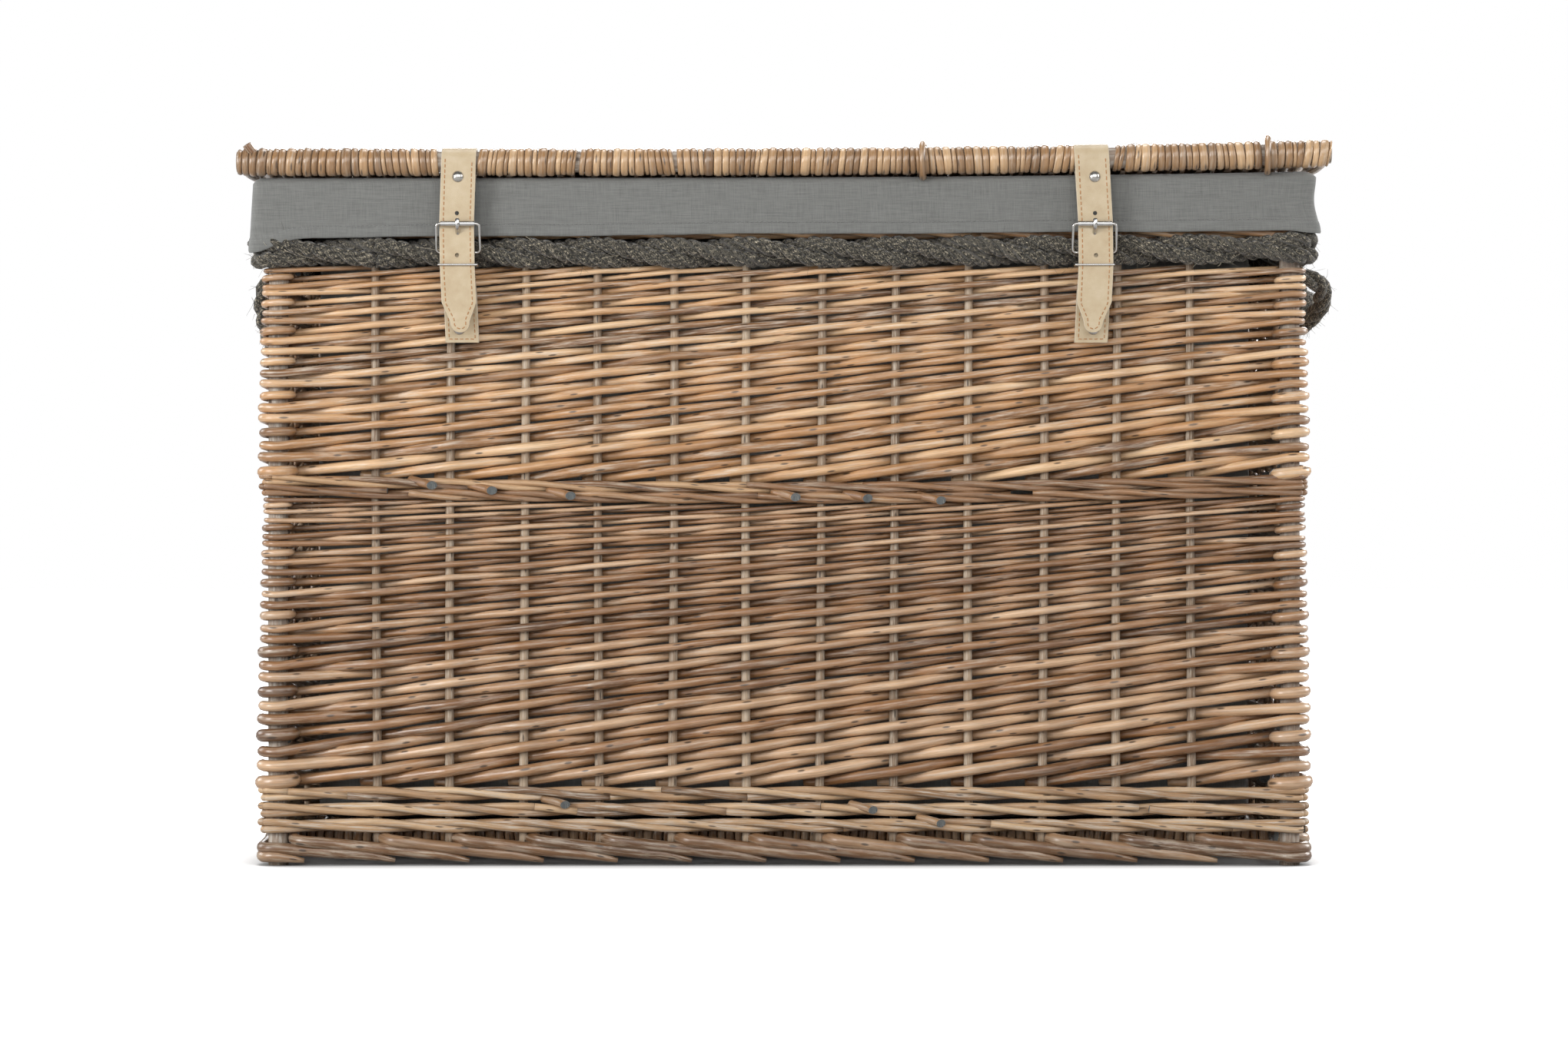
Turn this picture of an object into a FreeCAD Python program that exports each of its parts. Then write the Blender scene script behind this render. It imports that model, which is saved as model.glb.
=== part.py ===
"""Wicker storage trunk with a hinged lid, two buckled leather straps and two rope handles.

Millimetres, +Z up, origin on the floor at the middle of the trunk. The front faces -Y.
Every sub-part is one STEP file in parts/, named after its node.
"""
import FreeCAD, Part
import math
import os

os.makedirs("parts", exist_ok=True)

V = FreeCAD.Vector

# ---------------------------------------------------------------- driving dimensions
wall_x = 381.0              # stake line of the end walls
wall_y = 241.0              # stake line of the front and back walls
post_r = 7.8
post_top = 500.0
stake_r = 3.3
stake_bottom = 3.0
stake_top = 488.0
stake_gap = 0.15            # clearance round each stake and post
front_stakes = 12
front_pitch = 55.8
side_stakes = 7
side_pitch = 56.0

weave_half = 11.3           # half the thickness of the woven walls
weave_corner_r = 11.0
lower_z = (60.5, 275.5)
upper_z = (290.5, 451.5)
foot_wale_z = (24.0, 60.0)
mid_wale_z = (276.0, 290.0)
top_wale_z = (472.5, 490.0)
rim_z = (490.3, 513.5)
rope_trim_z = (452.0, 472.0)
foot_border_z = (1.5, 23.5)
wale_out = 12.8             # how far each band stands out from the stake line
wale_in = 11.3
rope_out = 19.0
rope_in = 11.3
rim_out = 17.0
rim_in = 14.0
foot_out = 13.5
foot_in = 9.0

base_z = 23.0
base_edge_r = 6.0
base_stick_r = 4.0
base_inner_sticks = 9
base_edge_y = 221.0
base_thickness = 14.0

liner_t = 1.5
cuff_bottom = 473.5
liner_bottom = 32.0
liner_in_x = 352.5
liner_in_y = 225.0
liner_slope_z = (460.0, 500.0)

lid_half_x = 410.0
lid_stick_y = 260.5
lid_z = 528.0
lid_stick_r = 7.8
lid_inner_sticks = 9
lid_inner_r = 4.2
lid_half_t = 8.0
lid_wrap_r = 10.6
lid_end_w = 4.7
slot_half = 14.8            # half the width of the gaps that the straps pass through

strap_x = (-243.5, 232.0)
strap_w = 26.0
strap_t = 2.2
loop_gap = 0.25
strap_tip_z = 400.0
strap_taper_z = 422.0
strap_round_r = 9.0
hole_z = (489.0, 458.0)
hole_r = 1.6
slot_z = (466.5, 477.0)
slot_r = 1.9
strap_lap_z = 505.0
lid_rivet_z = 516.3
rivet_r = 1.6
dome_r = 4.3
dome_h = 2.2
head_gap = 0.05             # between a rivet's head and the leather under it
wall_burr_r = 4.2
wall_burr_t = 1.0
lap_burr_t = 0.8
lay_gap = 0.5               # between a strap that lies on the wall and the weave

run_gap = 0.3               # between the lid straps and what they slide past
wire_r = 1.0
lower_w = 25.0
lower_t = 2.0
heel_z = 460.0
roller_r = 2.1
roller_bore = 1.08
roller_len = 25.4
roller_z = 481.0
frame_half = 16.2
frame_corner_r = 2.8
lower_bottom_z = 393.0
lower_bend_z = (446.0, 428.0)
lower_rivet_z = 403.0
prong_slot_half = 2.2
prong_ring_r = 2.3
prong_r = 0.95
keeper_z = 450.5
keeper_r = 0.8

hinge_x = (-236.0, 236.0)
hinge_w = 26.0
hinge_bend_z = (446.0, 428.0)
hinge_bottom_z = 392.0
hinge_rivets_z = (505.0, 404.0)

handle_r = 8.0
handle_y = 69.0
handle_z = 453.0
anchor_bend_r = 9.0
trim_mouth_r = 11.0          # room in the rope trim where a handle comes out under it
# Back half of the route of each rope handle's outer loop, for a handle on the right. The
# other half is its mirror image. The right handle stands out and down, and the left one,
# a mirrored route, hangs close along its wall.
right_handle_route = [
    (393.6, 69.0, 453.0),
    (414.0, 69.0, 453.0),
    (435.0, 59.0, 451.0),
    (441.0, 36.0, 433.0),
    (421.0, 12.0, 418.5),
]
left_handle_route = [
    (393.6, 69.0, 453.0),
    (403.4, 69.0, 453.0),
    (411.8, 69.0, 447.5),
    (415.6, 68.0, 437.5),
    (415.0, 61.0, 421.0),
    (412.0, 45.0, 405.0),
    (410.0, 25.0, 395.0),
    (409.0, 8.5, 392.0),
]

# ---------------------------------------------------------------- derived dimensions
weave_face = wall_y + weave_half
strap_front = lid_stick_y + lid_stick_r + loop_gap + strap_t
strap_back = strap_front - strap_t
lower_front = strap_back - run_gap
loop_bore = wire_r + 0.1
burr_y = wall_y - weave_half - wall_burr_t - 0.3
heel_y = lower_front - lower_t - loop_bore
roller_y = strap_front + run_gap + roller_r
front_xs = [(i - (front_stakes - 1) / 2) * front_pitch for i in range(front_stakes)]
side_ys = [(i - (side_stakes - 1) / 2) * side_pitch for i in range(side_stakes)]
inner_pitch = 2 * lid_stick_y / (lid_inner_sticks + 1)
lid_inner_ys = [-lid_stick_y + (i + 1) * inner_pitch for i in range(lid_inner_sticks)]


# ---------------------------------------------------------------- helpers
def box(x0, x1, y0, y1, z0, z1):
    return Part.makeBox(x1 - x0, y1 - y0, z1 - z0, V(x0, y0, z0))


def rod(start, end, r):
    a, b = V(*start), V(*end)
    return Part.makeCylinder(r, (b - a).Length, a, b - a)


def upright(x, y, r, z0, z1):
    return Part.makeCylinder(r, z1 - z0, V(x, y, z0), V(0, 0, 1))


def across(x0, x1, y, z, r):
    return Part.makeCylinder(r, x1 - x0, V(x0, y, z), V(1, 0, 0))


def cut(shape, tools):
    return shape.cut(tools) if tools else shape


def group(solids):
    return solids[0] if len(solids) == 1 else Part.makeCompound(solids)


def save(node, *solids):
    group(list(solids)).exportStep("parts/" + node + ".step")


def mirror_y(shape):
    return shape.mirror(V(0, 0, 0), V(0, 1, 0))


def mirror_x(shape):
    return shape.mirror(V(0, 0, 0), V(1, 0, 0))


def rivet(x, z, inner, face, burr_r, burr_t, side):
    """Rivet along side * Y: burr washer at distance inner, domed head standing on face.

    Distances are from the middle of the trunk. The profile is turned about the rivet's axis.
    """
    sphere_r = (dome_r ** 2 + dome_h ** 2) / (2 * dome_h)
    half_angle = math.asin(dome_r / sphere_r) / 2
    centre = face + dome_h - sphere_r
    on_dome = V(sphere_r * math.sin(half_angle), centre + sphere_r * math.cos(half_angle), 0)
    pts = [V(0, inner, 0), V(burr_r, inner, 0), V(burr_r, inner + burr_t, 0),
           V(rivet_r, inner + burr_t, 0), V(rivet_r, face, 0), V(dome_r, face, 0)]
    top = V(0, face + dome_h, 0)
    edges = [Part.LineSegment(p, q).toShape() for p, q in zip(pts, pts[1:])]
    edges.append(Part.Arc(pts[-1], on_dome, top).toShape())
    edges.append(Part.LineSegment(top, pts[0]).toShape())
    solid = Part.Face(Part.Wire(edges)).revolve(V(0, 0, 0), V(0, 1, 0), 360)
    if side < 0:
        solid = mirror_y(solid)
    return solid.translated(V(x, 0, z))


def rounded_path(points, bend_r=None):
    """Straight runs joined by tangent arcs, and the radius of each arc."""
    pts = [V(*p) for p in points]
    edges, radii, here = [], [], pts[0]
    for before, at, after in zip(pts, pts[1:], pts[2:]):
        u, w = at - before, after - at
        half = u.getAngle(w) / 2
        r = bend_r or 0.45 * min(u.Length, w.Length) / math.tan(half)
        trim = r * math.tan(half)
        u.normalize()
        w.normalize()
        arc_in, arc_out = at - u * trim, at + w * trim
        inward = w - u
        inward.normalize()
        middle = at + inward * (r / math.cos(half) - r)
        edges.append(Part.LineSegment(here, arc_in).toShape())
        edges.append(Part.Arc(arc_in, middle, arc_out).toShape())
        radii.append(round(r, 1))
        here = arc_out
    edges.append(Part.LineSegment(here, pts[-1]).toShape())
    return Part.Wire(edges), radii


def tube(points, r, bend_r=None):
    """Round bar of radius r along a rounded path."""
    path, radii = rounded_path(points, bend_r)
    start = V(*points[0])
    circle = Part.Wire(Part.Circle(start, V(*points[1]) - start, r).toShape())
    return path.makePipeShell([circle], True, False), path.Length, radii


def prism_x(profile, x0, x1):
    """Closed (y, z) polygon pushed along X."""
    wire = Part.makePolygon([V(x0, y, z) for y, z in profile + profile[:1]])
    return Part.Face(wire).extrude(V(x1 - x0, 0, 0))


# ---------------------------------------------------------------- basket body
def upright_holes(axis, z0, z1):
    """Cutters for the stakes and posts that pass through a band of the wall."""
    gap = stake_gap
    if axis == "front":
        spots = [(x, -wall_y, stake_r + gap) for x in front_xs]
        spots += [(sx * wall_x, -wall_y, post_r + gap) for sx in (-1, 1)]
    else:
        spots = [(wall_x, y, stake_r + gap) for y in side_ys]
    return [upright(x, y, r, z0 - 1, z1 + 1) for x, y, r in spots]


def front_band(z_range, out, inside):
    """Front stretch of a band that goes round the stakes, past both corner posts."""
    z0, z1 = z_range
    reach = wall_x + out
    band = box(-reach, reach, -wall_y - out, -wall_y + inside, z0, z1)
    corners = [
        e for e in band.Edges
        if abs(e.Vertexes[0].Z - e.Vertexes[-1].Z) > 1 and e.Vertexes[0].Y < -wall_y
    ]
    band = band.makeFillet(min(weave_corner_r, out - 0.5), corners)
    return cut(band, upright_holes("front", z0, z1))


def side_band(z_range, out, inside):
    """Right-hand stretch of a band, between the front and back stretches."""
    z0, z1 = z_range
    end_y = wall_y - inside - stake_gap
    band = box(wall_x - inside, wall_x + out, -end_y, end_y, z0, z1)
    return cut(band, upright_holes("side", z0, z1))


def ring(z_range, out, inside):
    front, right = front_band(z_range, out, inside), side_band(z_range, out, inside)
    return [front, mirror_y(front), mirror_x(right), right]


def rivet_holes(xs, z, r):
    return [rod((x, -wall_y - 20, z), (x, -wall_y + 20, z), r) for x in xs]


def corner_posts():
    names = {(-1, -1): "front_left", (1, -1): "front_right",
             (-1, 1): "back_left", (1, 1): "back_right"}
    for (sx, sy), name in names.items():
        save("corner_post_" + name, upright(sx * wall_x, sy * wall_y, post_r, 0, post_top))


def stakes():
    z = (stake_bottom, stake_top)
    front = [upright(x, -wall_y, stake_r, *z) for x in front_xs]
    right = [upright(wall_x, y, stake_r, *z) for y in side_ys]
    save("stakes_front", *front)
    save("stakes_back", *[mirror_y(s) for s in front])
    save("stakes_right", *right)
    save("stakes_left", *[mirror_x(s) for s in right])


def weave_panels():
    for level, z_range in (("lower", lower_z), ("upper", upper_z)):
        front, back, left, right = ring(z_range, weave_half, weave_half)
        if level == "upper":
            front = cut(front, rivet_holes(strap_x, lower_rivet_z, rivet_r + 0.2))
            holes = rivet_holes(hinge_x, hinge_rivets_z[1], rivet_r + 0.2)
            back = cut(back, [mirror_y(h) for h in holes])
            mouths = [
                rod((wall_x - 20, s * handle_y, handle_z),
                    (wall_x + 20, s * handle_y, handle_z), handle_r + 0.3)
                for s in (-1, 1)
            ]
            right = cut(right, mouths)
            left = cut(left, [mirror_x(m) for m in mouths])
        save("weave_" + level + "_front", front)
        save("weave_" + level + "_back", back)
        save("weave_" + level + "_left", left)
        save("weave_" + level + "_right", right)


def bands():
    save("foot_border", *ring(foot_border_z, foot_out, foot_in))
    save("foot_wale", *ring(foot_wale_z, wale_out, wale_in))
    save("mid_wale", *ring(mid_wale_z, wale_out, wale_in))
    save("top_wale", *ring(top_wale_z, wale_out, wale_in))
    save("rim_border", *ring(rim_z, rim_out, rim_in))
    front, back, left, right = ring(rope_trim_z, rope_out, rope_in)
    mouths = [
        rod((wall_x - 20, s * handle_y, handle_z), (wall_x + 20, s * handle_y, handle_z),
            trim_mouth_r)
        for s in (-1, 1)
    ]
    right = cut(right, mouths)
    left = cut(left, [mirror_x(m) for m in mouths])
    save("rope_trim", front, back, left, right)


def base():
    reach = wall_x - weave_half - 0.5
    half_t = base_thickness / 2
    edges = [across(-reach, reach, s * base_edge_y, base_z, base_edge_r) for s in (-1, 1)]
    pitch = 2 * base_edge_y / (base_inner_sticks + 1)
    ys = [-base_edge_y + (i + 1) * pitch for i in range(base_inner_sticks)]
    inner = [across(-reach, reach, y, base_z, base_stick_r) for y in ys]
    depth = base_edge_y - base_edge_r - 0.3
    plate = box(-reach, reach, -depth, depth, base_z - half_t, base_z + half_t)
    bores = [across(-reach - 1, reach + 1, y, base_z, base_stick_r + stake_gap) for y in ys]
    save("base_edge_sticks", *edges)
    save("base_inner_sticks", *inner)
    save("base_weave", cut(plate, bores))


def rect(half_x, half_y, z):
    corners = [(-1, -1), (1, -1), (1, 1), (-1, 1), (-1, -1)]
    return Part.makePolygon([V(sx * half_x, sy * half_y, z) for sx, sy in corners])


def bag_solid(inset, bottom, top):
    """The liner bag's form, narrower in the middle than at the rim."""
    rim_x, rim_y = wall_x - rim_in - 0.3 - inset, wall_y - rim_in - 0.3 - inset
    mid_x, mid_y = liner_in_x - inset, liner_in_y - inset
    low, high = liner_slope_z
    wires = [rect(mid_x, mid_y, bottom), rect(mid_x, mid_y, low)]
    body = Part.makeLoft(wires, True, True)
    slope = Part.makeLoft([rect(mid_x, mid_y, low), rect(rim_x, rim_y, high)], True, True)
    neck = box(-rim_x, rim_x, -rim_y, rim_y, high, top)
    return body.fuse([slope, neck]).removeSplitter()


def liner():
    rim_top = rim_z[1] + 0.3
    out = rim_out + 0.3
    inner_x, inner_y = wall_x + out, wall_y + out
    cuff = box(-inner_x - liner_t, inner_x + liner_t, -inner_y - liner_t, inner_y + liner_t,
               cuff_bottom, rim_top + liner_t)
    cuff = cuff.makeFillet(weave_corner_r, [
        e for e in cuff.Edges if abs(e.Vertexes[0].Z - e.Vertexes[-1].Z) > 1])
    under = box(-inner_x, inner_x, -inner_y, inner_y, cuff_bottom - 1, rim_top)
    under = under.makeFillet(weave_corner_r - liner_t, [
        e for e in under.Edges if abs(e.Vertexes[0].Z - e.Vertexes[-1].Z) > 1])
    bag = bag_solid(0, liner_bottom, rim_top + liner_t)
    room = bag_solid(liner_t, liner_bottom + liner_t, rim_top + liner_t + 1)
    save("liner", cuff.cut(under).fuse(bag).cut(room).removeSplitter())


def hanging_strap(loop_y, loop_z, bore, t, front, half_w, bends, bottom, wall_face):
    """Strap folded round a bar, its two layers together below it, bent back to the wall.

    All places are distances out from the middle of the trunk: the strap is made for the
    back wall, and mirrored for the front.
    """
    top_z, low_z = bends
    two = 2 * t
    ring_y = V(0, loop_y, loop_z)
    outer = Part.makeCylinder(bore + t, 2 * half_w, ring_y + V(-half_w, 0, 0), V(1, 0, 0))
    legs = prism_x(
        [(front, loop_z), (front, top_z), (wall_face + two, low_z),
         (wall_face + two, bottom), (wall_face, bottom), (wall_face, low_z),
         (front - two, top_z), (front - two, loop_z - 1)],
        -half_w, half_w)
    eye = Part.makeCylinder(bore, 2 * half_w + 2, ring_y + V(-half_w - 1, 0, 0), V(1, 0, 0))
    return outer.fuse(legs).cut(eye).removeSplitter()


def lower_straps():
    half = lower_w / 2
    two = 2 * lower_t
    form = hanging_strap(heel_y, heel_z, loop_bore, lower_t, lower_front, half,
                         lower_bend_z, lower_bottom_z, weave_face + lay_gap)
    slot = box(-prong_slot_half, prong_slot_half, heel_y - 6, heel_y + 6,
               heel_z - 4.5, heel_z + 5)
    form = mirror_y(form.cut(slot))
    face = -(weave_face + lay_gap + two)
    for x, name in zip(strap_x, ("left", "right")):
        hole = rod((x, face - 3, lower_rivet_z), (x, face + 8, lower_rivet_z), rivet_r + 0.1)
        save("lower_strap_" + name, form.translated(V(x, 0, 0)).cut(hole))
        save("lower_strap_rivet_" + name,
             rivet(x, lower_rivet_z, burr_y, -face + head_gap, wall_burr_r, wall_burr_t, -1))


def keepers():
    back = -(lower_front - 2 * lower_t - run_gap - keeper_r)
    front = -(strap_front + run_gap + keeper_r)
    half = strap_w / 2 + 0.5 + keeper_r
    for x, name in zip(strap_x, ("left", "right")):
        wire = rect_ring(x, half, front, back, keeper_r)
        save("keeper_" + name, wire.translated(V(0, 0, keeper_z)))


def rect_ring(x, half, y0, y1, r):
    """Flat rectangular ring of round wire at z = 0."""
    bars = [across(x - half, x + half, y, 0, r) for y in (y0, y1)]
    bars += [rod((x + s * half, y0, 0), (x + s * half, y1, 0), r) for s in (-1, 1)]
    knuckles = [Part.makeSphere(r, V(x + s * half, y, 0)) for s in (-1, 1) for y in (y0, y1)]
    return bars[0].fuse(bars[1:] + knuckles).removeSplitter()


def hinge_straps():
    bore = lid_stick_r + loop_gap
    form = hanging_strap(lid_stick_y, lid_z, bore, strap_t, strap_front, hinge_w / 2,
                         hinge_bend_z, hinge_bottom_z, weave_face + lay_gap)
    high_z, low_z = hinge_rivets_z
    two = 2 * strap_t
    low_face = weave_face + lay_gap + two
    straps, rivets = [], []
    for x in hinge_x:
        strap = form.translated(V(x, 0, 0))
        for z, face in ((high_z, strap_front), (low_z, low_face)):
            strap = strap.cut(rod((x, face - 8, z), (x, face + 3, z), rivet_r + 0.1))
        straps.append(strap)
        rivets.append(rivet(x, high_z, strap_front - two - 0.9, strap_front + head_gap,
                            3.6, lap_burr_t, 1))
        rivets.append(rivet(x, low_z, burr_y, low_face + head_gap, wall_burr_r, wall_burr_t, 1))
    save("hinge_straps", *straps)
    save("hinge_rivets", *rivets)


# ---------------------------------------------------------------- lid
def lid():
    ends = lid_half_x - lid_end_w - 0.3
    front = across(-lid_half_x, lid_half_x, -lid_stick_y, lid_z, lid_stick_r)
    save("lid_front_stick", front)
    save("lid_back_stick", mirror_y(front))
    inner = [across(-ends, ends, y, lid_z, lid_inner_r) for y in lid_inner_ys]
    save("lid_inner_sticks", *inner)

    edge = lid_stick_y - lid_wrap_r - 0.2
    plate = box(-ends, ends, -edge, edge, lid_z - lid_half_t, lid_z + lid_half_t)
    bores = [across(-ends - 1, ends + 1, y, lid_z, lid_inner_r + stake_gap)
             for y in lid_inner_ys]
    slot_deep = lid_stick_y - 18.0
    slots = [box(x - slot_half, x + slot_half, -edge - 1, -slot_deep, lid_z - 20, lid_z + 20)
             for x in strap_x]
    slots += [box(x - slot_half, x + slot_half, slot_deep, edge + 1, lid_z - 20, lid_z + 20)
              for x in hinge_x]
    save("lid_weave", plate.cut(bores + slots))

    save("lid_wraps_front", *wraps(strap_x, -lid_stick_y))
    save("lid_wraps_back", *wraps(hinge_x, lid_stick_y))

    half = lid_half_t - 0.6
    right = box(ends + 0.3, lid_half_x, -edge, edge, lid_z - half, lid_z + half)
    save("lid_end_rods", mirror_x(right), right)


def wraps(gaps, y):
    """Sleeves of the weave's turns round a stout stick, open where straps go round it."""
    stops = [-lid_half_x + 1.0]
    for x in gaps:
        stops += [x - slot_half, x + slot_half]
    stops.append(lid_half_x - 1.0)
    sleeves = []
    for x0, x1 in zip(stops[::2], stops[1::2]):
        sleeve = across(x0, x1, y, lid_z, lid_wrap_r)
        bore = across(x0 - 1, x1 + 1, y, lid_z, lid_stick_r + 0.1)
        sleeves.append(sleeve.cut(bore))
    return sleeves


# ---------------------------------------------------------------- straps and buckles
def strap_outline():
    """Front face of the strap's hanging part: straight sides and a tapered, rounded tip."""
    half = strap_w / 2
    tip_r = strap_round_r
    pts = [V(-half, 0, lid_z), V(-half, 0, strap_taper_z), V(-tip_r, 0, strap_tip_z + tip_r),
           V(0, 0, strap_tip_z), V(tip_r, 0, strap_tip_z + tip_r), V(half, 0, strap_taper_z),
           V(half, 0, lid_z)]
    edges = [Part.LineSegment(pts[0], pts[1]).toShape(),
             Part.LineSegment(pts[1], pts[2]).toShape(),
             Part.Arc(pts[2], pts[3], pts[4]).toShape(),
             Part.LineSegment(pts[4], pts[5]).toShape(),
             Part.LineSegment(pts[5], pts[6]).toShape(),
             Part.LineSegment(pts[6], pts[0]).toShape()]
    return Part.Face(Part.Wire(edges))


def lid_straps():
    half = strap_w / 2
    bore = lid_stick_r + loop_gap
    tail = strap_outline().translated(V(0, -strap_front, 0)).extrude(V(0, strap_t, 0))
    lap = box(-half, half, -strap_back, -strap_back + strap_t, strap_lap_z,
              lid_z - lid_stick_r - 0.6)
    eye = across(-half - 1, half + 1, -lid_stick_y, lid_z, bore)
    loop = across(-half, half, -lid_stick_y, lid_z, bore + strap_t)
    form = loop.fuse([tail, lap]).cut(eye).removeSplitter()
    y0, y1 = -strap_front - 1, -strap_back + 1
    punch = [rod((0, y0, z), (0, y1, z), hole_r) for z in hole_z]
    punch += [rod((0, y0, z), (0, y1, z), slot_r)
              for z in (slot_z[0] + slot_r, slot_z[1] - slot_r)]
    punch.append(box(-slot_r, slot_r, y0, y1, slot_z[0] + slot_r, slot_z[1] - slot_r))
    punch.append(rod((0, y0, lid_rivet_z), (0, y1 + 3, lid_rivet_z), rivet_r + 0.1))
    form = form.cut(punch)
    for x, name in zip(strap_x, ("left", "right")):
        save("lid_strap_" + name, form.translated(V(x, 0, 0)))
        save("lid_strap_rivet_" + name,
             rivet(x, lid_rivet_z, strap_back - strap_t - 0.9, strap_front + head_gap,
                   2.6, lap_burr_t, -1))


def buckle_frame(x):
    """Wire frame with rounded corners, leaning out from the heel bar to the roller bar."""
    heel, top = V(x, -heel_y, heel_z), V(x, -roller_y, roller_z)
    side = V(frame_half, 0, 0)
    corners = [heel - side, top - side, top + side, heel + side]
    r = frame_corner_r
    edges = []
    for i, at in enumerate(corners):
        to_last = corners[i - 1] - at
        to_next = corners[(i + 1) % 4] - at
        to_after = corners[(i + 2) % 4] - corners[(i + 1) % 4]
        for v in (to_last, to_next, to_after):
            v.normalize()
        middle = at + (to_last + to_next) * (r - r / math.sqrt(2))
        edges.append(Part.Arc(at + to_last * r, middle, at + to_next * r).toShape())
        far = corners[(i + 1) % 4] - to_next * r
        edges.append(Part.LineSegment(at + to_next * r, far).toShape())
    path = Part.Wire(Part.__sortEdges__(edges))
    start = path.Edges[0].valueAt(path.Edges[0].FirstParameter)
    tangent = path.Edges[0].tangentAt(path.Edges[0].FirstParameter)
    circle = Part.Wire(Part.Circle(start, tangent, wire_r).toShape())
    return path.makePipeShell([circle], True, False)


def prong(x):
    """Wire hook on the heel bar, up behind the strap, out through its hole, over the roller."""
    ring_half = 1.3
    eye = across(x - ring_half - 1, x + ring_half + 1, -heel_y, heel_z, loop_bore)
    hook = across(x - ring_half, x + ring_half, -heel_y, heel_z, prong_ring_r)
    over = roller_y + roller_r + prong_r + 0.15
    route = [(x, -heel_y - 0.8, heel_z + 1.4), (x, -heel_y - 2.1, heel_z + 10.0),
             (x, -over + 0.2, heel_z + 17.6), (x, -over, roller_z + 3.8)]
    bar, _, _ = tube(route, prong_r, 2.6)
    tip = Part.makeSphere(prong_r, V(*route[-1]))
    return hook.fuse([bar, tip]).cut(eye)


def buckles():
    for x, name in zip(strap_x, ("left", "right")):
        save("buckle_frame_" + name, buckle_frame(x))
        half = roller_len / 2
        barrel = across(x - half, x + half, -roller_y, roller_z, roller_r)
        bore = across(x - half - 1, x + half + 1, -roller_y, roller_z, roller_bore)
        save("buckle_roller_" + name, barrel.cut(bore))
        save("buckle_prong_" + name, prong(x))


# ---------------------------------------------------------------- rope handles
def handle_loop(half):
    """Outer loop of a handle on the right, from the back half of its route."""
    loop = [(x, -y, z) for x, y, z in half] + half[::-1]
    solid, length, radii = tube(loop, handle_r)
    print("handle loop: length", round(length, 1), "bend radii", radii)
    print("volume over section times length",
          round(solid.Volume / (math.pi * handle_r ** 2 * length), 4))
    return solid


def rope_handles():
    save("rope_handle_right", handle_loop(right_handle_route))
    save("rope_handle_left", mirror_x(handle_loop(left_handle_route)))
    inner_x = wall_x - weave_half - handle_r - 0.3
    mouth_x = right_handle_route[0][0] - 0.3
    run = [(mouth_x, -handle_y, handle_z), (inner_x, -handle_y, handle_z),
           (inner_x, handle_y, handle_z), (mouth_x, handle_y, handle_z)]
    inner, _, _ = tube(run, handle_r, anchor_bend_r)
    save("handle_anchor_right", inner)
    save("handle_anchor_left", mirror_x(inner))


corner_posts()
stakes()
weave_panels()
bands()
base()
liner()
lower_straps()
keepers()
hinge_straps()
lid()
lid_straps()
buckles()
rope_handles()
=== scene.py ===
"""Wicker storage trunk: woven willow, rope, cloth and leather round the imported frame."""
import math

import bmesh
import bpy
import numpy as np
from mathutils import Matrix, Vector


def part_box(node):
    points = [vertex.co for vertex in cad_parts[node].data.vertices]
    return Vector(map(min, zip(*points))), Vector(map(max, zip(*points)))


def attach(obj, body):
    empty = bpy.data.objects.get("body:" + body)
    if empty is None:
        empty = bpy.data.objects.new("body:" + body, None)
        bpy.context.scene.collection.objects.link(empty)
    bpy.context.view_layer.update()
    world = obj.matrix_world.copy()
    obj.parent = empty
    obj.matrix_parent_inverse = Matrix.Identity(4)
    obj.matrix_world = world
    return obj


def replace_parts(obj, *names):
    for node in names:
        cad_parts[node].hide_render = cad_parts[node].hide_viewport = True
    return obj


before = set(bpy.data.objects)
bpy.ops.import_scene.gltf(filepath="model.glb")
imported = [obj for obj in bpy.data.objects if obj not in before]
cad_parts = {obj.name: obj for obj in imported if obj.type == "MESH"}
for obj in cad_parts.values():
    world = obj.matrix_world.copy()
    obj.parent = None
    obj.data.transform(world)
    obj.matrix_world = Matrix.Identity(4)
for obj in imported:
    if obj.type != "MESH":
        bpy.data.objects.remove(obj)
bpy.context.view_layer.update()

MM = 0.001
rng = np.random.default_rng(7)


# ---- places from the frame
def box_mm(node):
    low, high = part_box(node)
    return np.array(low) / MM, np.array(high) / MM


def node_x(node):
    low, high = box_mm(node)
    return (low[0] + high[0]) / 2


def span_z(node):
    low, high = box_mm(node)
    return low[2], high[2]


posts_low, posts_high = box_mm("corner_post_front_left")
POST_R = (posts_high[0] - posts_low[0]) / 2
WALL_X = -(posts_low[0] + posts_high[0]) / 2
WALL_Y = -(posts_low[1] + posts_high[1]) / 2
STAKE_R = 3.3
FRONT_N, SIDE_N = 12, 7
front_low, front_high = box_mm("stakes_front")
side_low, side_high = box_mm("stakes_right")
FRONT_XS = np.linspace(front_low[0] + STAKE_R, front_high[0] - STAKE_R, FRONT_N)
SIDE_YS = np.linspace(side_low[1] + STAKE_R, side_high[1] - STAKE_R, SIDE_N)
stick_low, stick_high = box_mm("lid_front_stick")
LID_X = stick_high[0]
LID_R = (stick_high[2] - stick_low[2]) / 2
LID_Y = -(stick_low[1] + stick_high[1]) / 2
LID_Z = (stick_low[2] + stick_high[2]) / 2
STRAP_XS = (node_x("lid_strap_left"), node_x("lid_strap_right"))
strap_low, strap_high = box_mm("lid_strap_left")
STRAP_HALF = (strap_high[0] - strap_low[0]) / 2
hinge_low, hinge_high = box_mm("hinge_straps")
HINGE_XS = (hinge_low[0] + STRAP_HALF, hinge_high[0] - STRAP_HALF)
SIDES = ("left", "right")


def add_object(name, data):
    made = bpy.data.objects.new(name, data)
    bpy.context.scene.collection.objects.link(made)
    return made


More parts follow.
